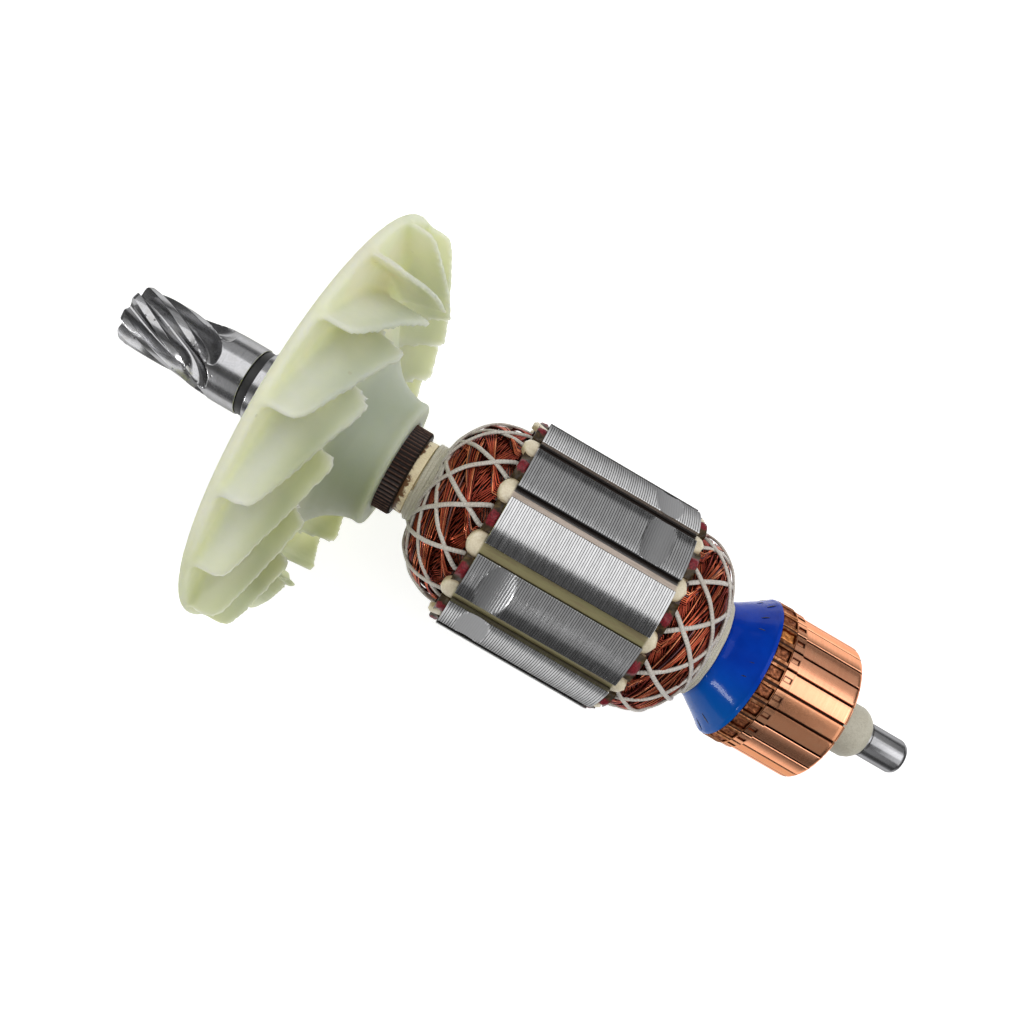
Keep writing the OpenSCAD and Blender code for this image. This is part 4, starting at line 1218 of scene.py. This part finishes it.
def build_resin():
    prof = spline([[117.25, 10.9], [117.45, 11.45], [119.0, 12.3], [120.8, 13.5], [122.9, 14.9], [124.4, 16.0], [125.05, 16.6]], 48)
    prof = np.vstack([[[117.2, 6.5], [117.2, 10.7]], prof, [[125.35, 16.76], [125.78, 16.7], [125.78, 7.0], [121.0, 7.0], [121.0, 6.5]]])
    n = 192
    a = np.arange(n) * 360.0 / n
    x = np.repeat(prof[:, :1], n, 1)
    r = np.repeat(prof[:, 1:], n, 1)
    skin = ((r > 11) & (x > 117.3) & (x < 125.4)).astype(float)
    A = np.radians(a)[None, :]
    lump = 0.10 * np.cos(3 * A + 1.0 + x * 0.2) + 0.06 * np.cos(5 * A + 2.2) + 0.035 * np.cos(24 * A + 0.5) * smooth01((x - 121) / 4)
    r = r + skin * (lump - 0.12)
    p = ring_points(x, r, a[None, :])
    s = Shape()
    s.grid(p, along=True, flip=True)
    finish_piece("resin_cap_blue", s, RESIN, ["resin_cap"], angle=50)
    # wire leads that print through the resin just before the risers
    s = Shape()
    rg = np.random.default_rng(77)
    for k in range(24):
        a0 = -53.7 + 15 * k + rg.uniform(-2.0, 2.0)
        if rg.uniform() < 0.25:
            continue
        x0 = rg.uniform(121.6, 123.4)
        xs = np.linspace(x0, x0 + rg.uniform(1.0, 2.3), 9)
        rr = np.interp(xs, prof[2:50, 0], prof[2:50, 1]) - 0.22 + 0.05 * np.sin(np.linspace(0, PI, 9))
        ang = a0 + np.linspace(0, rg.uniform(-2.5, 2.5), 9)
        p = ring_points(xs, rr, ang)
        up = ring_points(np.zeros(9), np.ones(9), ang)
        tube(s, p, up, 0.15 * np.sin(np.linspace(0.35, PI - 0.35, 9)), 6)
    finish_piece("resin_lead_marks", s, simple_finish("lead_marks", (0.004, 0.006, 0.02), (0.02, 0.02, 0.05), 0.3), [], angle=None)


build_resin()


def bar_height(x):
    """Outer radius of a bar along the shaft."""
    r = np.where(x < 129.3, 16.8, np.where(x < 131.8, 16.55, 16.2))
    r = np.where((x > 129.26) & (x < 129.42), 16.3, r)          # thin line behind the riser
    r = np.where(x > 145.1, 16.2 - 1.25 * np.clip((x - 145.1) / 1.2, 0, 1) ** 2.0, r)
    r = np.where(x < 125.95, 16.7, r)
    return r


def build_bar(k):
    """One commutator bar, with the wire slot in its riser and the small notch behind the track."""
    rg = np.random.default_rng(500 + k)
    s = Shape()
    xs = np.r_[125.8, 125.9, 126.02, 126.5, 127.2, 128.0, 128.7, 129.02, 129.09, 129.2, 129.28, 129.38, 129.46, 129.68, 129.75, 130.02, 130.5,
               131.1, 131.36, 131.43, 131.6, 131.78, 131.84, 132.2, np.linspace(133, 144.6, 13), 145.1, 145.4, 145.7, 145.95, 146.15, 146.3]
    u = np.r_[-1, -0.985, -0.93, -0.8, -0.67, -0.655, -0.4, -0.275, -0.258, -0.14, 0, 0.14, 0.258, 0.275, 0.4, 0.655, 0.67, 0.8, 0.93, 0.985, 1]
    gap = 0.225
    X, U = xs[:, None] + 0 * u[None, :], u[None, :] + 0 * xs[:, None]
    R = bar_height(X) + 0 * U
    half_ang = np.arcsin(np.clip((16.2 * math.sin(math.radians(7.5)) - gap) / 16.2, -1, 1))
    A = U * half_ang
    wmm = U * 1.895
    # rounded long edges
    R = R - 0.16 * np.clip((np.abs(U) - 0.90) / 0.10, 0, 1) ** 2
    # slot for the wire
    slot = (np.abs(wmm) < 1.25) & (X > 125.7) & (X < 129.05)
    R = np.where(slot, 13.6, R)
    # notch
    notch = (np.abs(wmm) < 0.50) & (X > 129.72) & (X < 131.4)
    inner = (np.abs(wmm) < 0.30) & (X > 130.0) & (X < 131.15)
    edge = (np.abs(wmm) < 0.53) & (X > 129.66) & (X < 131.45)
    R = np.where(notch, 16.22, R)
    R = R + 0.02 * np.sin(X * 1.3 + k) * (X < 131.5)
    y, z = -R * np.sin(A), R * np.cos(A)
    top = np.stack([X, y, z], -1)
    # inner face
    ri = np.full_like(R, 10.55)
    ri = np.where(X > 145.8, 10.55 + 0.65 * (X - 145.8) / 0.5, ri)
    inner_half = np.arcsin(np.clip((ri * math.sin(math.radians(7.5)) - gap) / ri, -1, 1))
    yi, zi = -ri * np.sin(U * inner_half), ri * np.cos(U * inner_half)
    bot = np.stack([X, yi, zi], -1)[:, ::-1]
    p = np.concatenate([top, bot], 1)
    side = np.concatenate([np.where(np.abs(U) > 0.99, 0.6, np.where(inner, 0.0, np.where(slot | edge, 0.9, 0.0))), np.ones_like(U)], 1)
    th = math.radians(-53.7 + 15 * k)
    Y, Z = p[..., 1].copy(), p[..., 2].copy()
    p[..., 1] = Y * math.cos(th) - Z * math.sin(th)
    p[..., 2] = Y * math.sin(th) + Z * math.cos(th)
    # tones of the first seven bars follow light and shade: bright bars are painted highlight, dark ones painted shade;
    # the others vary at random
    tone = {0: 0.2, 1: 0.35, 2: 0.1, 3: 0.0, 4: 1.0, 5: 0.95, 6: 0.35}.get(k, rg.uniform(0, 1))
    s.grid(p, flip=True, tone=tone, side=side)
    finish_piece(f"bar_{k + 1:02d}", s, BAR, [f"commutator_bar_{k + 1:02d}"], angle=32)


for k in range(24):
    build_bar(k)


def build_fused():
    """Wire ends pressed and fused into the riser slots."""
    s = Shape()
    for k in range(24):
        rg = np.random.default_rng(900 + k)
        nx, ny = 13, 11
        x = np.linspace(125.85, 129.02, nx)
        w = np.linspace(-1.22, 1.22, ny)
        X, W = np.meshgrid(x, w, indexing="ij")
        tx, tw = (X - 127.435) / 1.585, W / 1.22
        edge = np.clip(np.maximum(np.abs(tx), np.abs(tw)), 0, 1)
        R = 16.25 + 0.42 * (1 - edge ** 6) - 0.28 * np.exp(-((tx / 0.62) ** 2 + (tw / 0.6) ** 2) * 2.0)
        R = R + 0.10 * np.sin(X * 3.3 + rg.uniform(0, 6)) * np.sin(W * 3.7 + rg.uniform(0, 6)) + rg.uniform(-0.15, 0.08)
        R = np.minimum(R, 16.72)
        top = np.stack([X, -W, np.sqrt(np.maximum(R * R - W * W, 1))], -1)
        rows = [np.concatenate([top[i], np.stack([np.full(ny, x[i]), top[i, ::-1, 1], np.full(ny, 13.62)], 1)], 0) for i in range(nx)]
        p = np.array(rows)
        th = math.radians(-53.7 + 15 * k)
        Y, Z = p[..., 1].copy(), p[..., 2].copy()
        p[..., 1] = Y * math.cos(th) - Z * math.sin(th)
        p[..., 2] = Y * math.sin(th) + Z * math.cos(th)
        s.grid(p, flip=True, tone=1.0 if k in (1,) else rg.uniform(0, 0.8))
    finish_piece("riser_wires_fused", s, FUSED, ["riser_wires"], angle=50)


build_fused()

for node, finish in (("mica_separators", MICA), ("commutator_core", CORE_MOULD), ("commutator_bush", BUSH_STEEL)):
    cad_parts[node].data.materials.clear()
    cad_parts[node].data.materials.append(finish)

s = Shape()
lathe(s, rounded([[146.32, 4.0], [146.32, 6.05], [154.9, 6.05], [156.0, 5.6], [156.9, 4.9], [157.3, 4.45], [157.3, 4.0]],
                 [0, 0.3, 0.9, 0.8, 0.5, 0.2, 0]), 128, seed=9, rough=0.03)
finish_piece("end_collar_moulded", s, COLLAR, ["end_collar"])

# ------------------------------------------------------------ camera, studio


def place_camera():
    """The photograph's view: from above the shaft, a little off its middle, rolled so that the pinion is up on the left."""
    pan, tilt, roll = 0.0315248, -0.0203086, -0.0171444
    base = np.array([[1, 0, 0], [0, -1, 0], [0, 0, -1]], float)
    m_pan = np.array([[math.cos(pan), 0, -math.sin(pan)], [0, 1, 0], [math.sin(pan), 0, math.cos(pan)]])
    m_tilt = np.array([[1, 0, 0], [0, math.cos(tilt), -math.sin(tilt)], [0, math.sin(tilt), math.cos(tilt)]])
    m_roll = np.array([[math.cos(roll), math.sin(roll), 0], [-math.sin(roll), math.cos(roll), 0], [0, 0, 1]])
    m = m_roll @ m_tilt @ m_pan @ base
    turn = math.radians(29.2956)
    right = math.cos(turn) * m[0] - math.sin(turn) * m[1]
    down = math.sin(turn) * m[0] + math.cos(turn) * m[1]
    data = bpy.data.cameras.new("camera")
    data.lens, data.sensor_width, data.sensor_fit = 36.0 * 914.0 / 1024.0, 36.0, "HORIZONTAL"
    data.clip_start, data.clip_end = 0.005, 20.0
    cam = bpy.data.objects.new("camera", data)
    scene.collection.objects.link(cam)
    w = Matrix.Identity(4)
    for i in range(3):
        w[i][0], w[i][1], w[i][2] = right[i], -down[i], -m[2][i]
        w[i][3] = (59.1, 0.0, 199.85)[i] * MM
    cam.matrix_world = w
    scene.camera = cam


def area(name, phi, dist, width, length, power, x=0.06, along=0.0, color=(1, 1, 1)):
    """Soft light at phi degrees from straight above towards the picture's lower side, or tipped towards +X by along."""
    data = bpy.data.lights.new(name, "AREA")
    data.shape, data.size, data.size_y, data.energy, data.color = "RECTANGLE", length, width, power, color
    ob = bpy.data.objects.new(name, data)
    scene.collection.objects.link(ob)
    p, t = math.radians(phi), math.radians(along)
    d = np.array([math.sin(t), -math.sin(p) * math.cos(t), math.cos(p) * math.cos(t)])
    z = d / np.linalg.norm(d)
    xa = np.array([1.0, 0, 0]) - z * z[0]
    xa /= np.linalg.norm(xa)
    ya = np.cross(z, xa)
    w = Matrix.Identity(4)
    for i in range(3):
        w[i][0], w[i][1], w[i][2] = xa[i], ya[i], z[i]
        w[i][3] = z[i] * dist + (x if i == 0 else 0.0)
    ob.matrix_world = w
    return ob


def studio():
    """White table that fades to grey away from the part, one large light above and weak ones round it."""
    floor_z = -0.0488
    mesh = bpy.data.meshes.new("floor")
    n = 2.5
    mesh.from_pydata([(-n, -n, floor_z), (n, -n, floor_z), (n, n, floor_z), (-n, n, floor_z)], [], [(0, 1, 2, 3)])
    floor = bpy.data.objects.new("floor", mesh)
    scene.collection.objects.link(floor)
    f = Finish("floor_white", (0.9, 0.9, 0.9), 0.9, Specular_IOR_Level=0.1)
    x, y, _ = f.xyz()
    x = f.math("SUBTRACT", x, 59.0)
    dist = f.math("SQRT", f.math("ADD", f.math("MULTIPLY", x, x), f.math("MULTIPLY", y, y)))
    near = f.step(dist, FLOOR_FADE[0], FLOOR_FADE[1])
    f.color(f.mixc(near, (0.9, 0.9, 0.9), (0.3, 0.3, 0.3)))
    f.p.inputs["Emission Color"].default_value = (1, 1, 1, 1)
    f.put(f.p.inputs["Emission Strength"], f.math("ADD", f.math("MULTIPLY", f.math("SUBTRACT", 1.0, near), FLOOR_GLOW[0] - FLOOR_GLOW[1]), FLOOR_GLOW[1]))
    mesh.materials.append(f.mat)
    for args in LIGHTS:
        area(*args[:6], along=args[6])
    world = bpy.data.worlds.new("world")
    world.use_nodes = True
    world.node_tree.nodes["Background"].inputs[0].default_value = (1, 1, 1, 1)
    world.node_tree.nodes["Background"].inputs[1].default_value = WORLD
    scene.world = world
    scene.view_settings.view_transform = "Standard"
    scene.view_settings.look = "None"


FLOOR_FADE = (205.0, 330.0)
FLOOR_GLOW = (0.55, 0.06)
WORLD = 0.11
LIGHTS = [
    # name, angle from above, distance, width, length, power, tilt along the shaft
    ("key", -21, 0.9, 0.80, 1.5, 5.8, 0),
    ("fill_low", 50, 0.9, 0.55, 1.3, 0.8, 0),
    ("fill_high", -61, 0.9, 0.72, 1.3, 1.3, 0),
    ("end_left", 0, 0.9, 0.9, 0.7, 0.15, -52),
    ("end_right", 0, 0.9, 0.9, 0.7, 2.6, 52),
    ("glint", 63, 0.9, 0.12, 0.15, 1.35, -36),
]

place_camera()
studio()
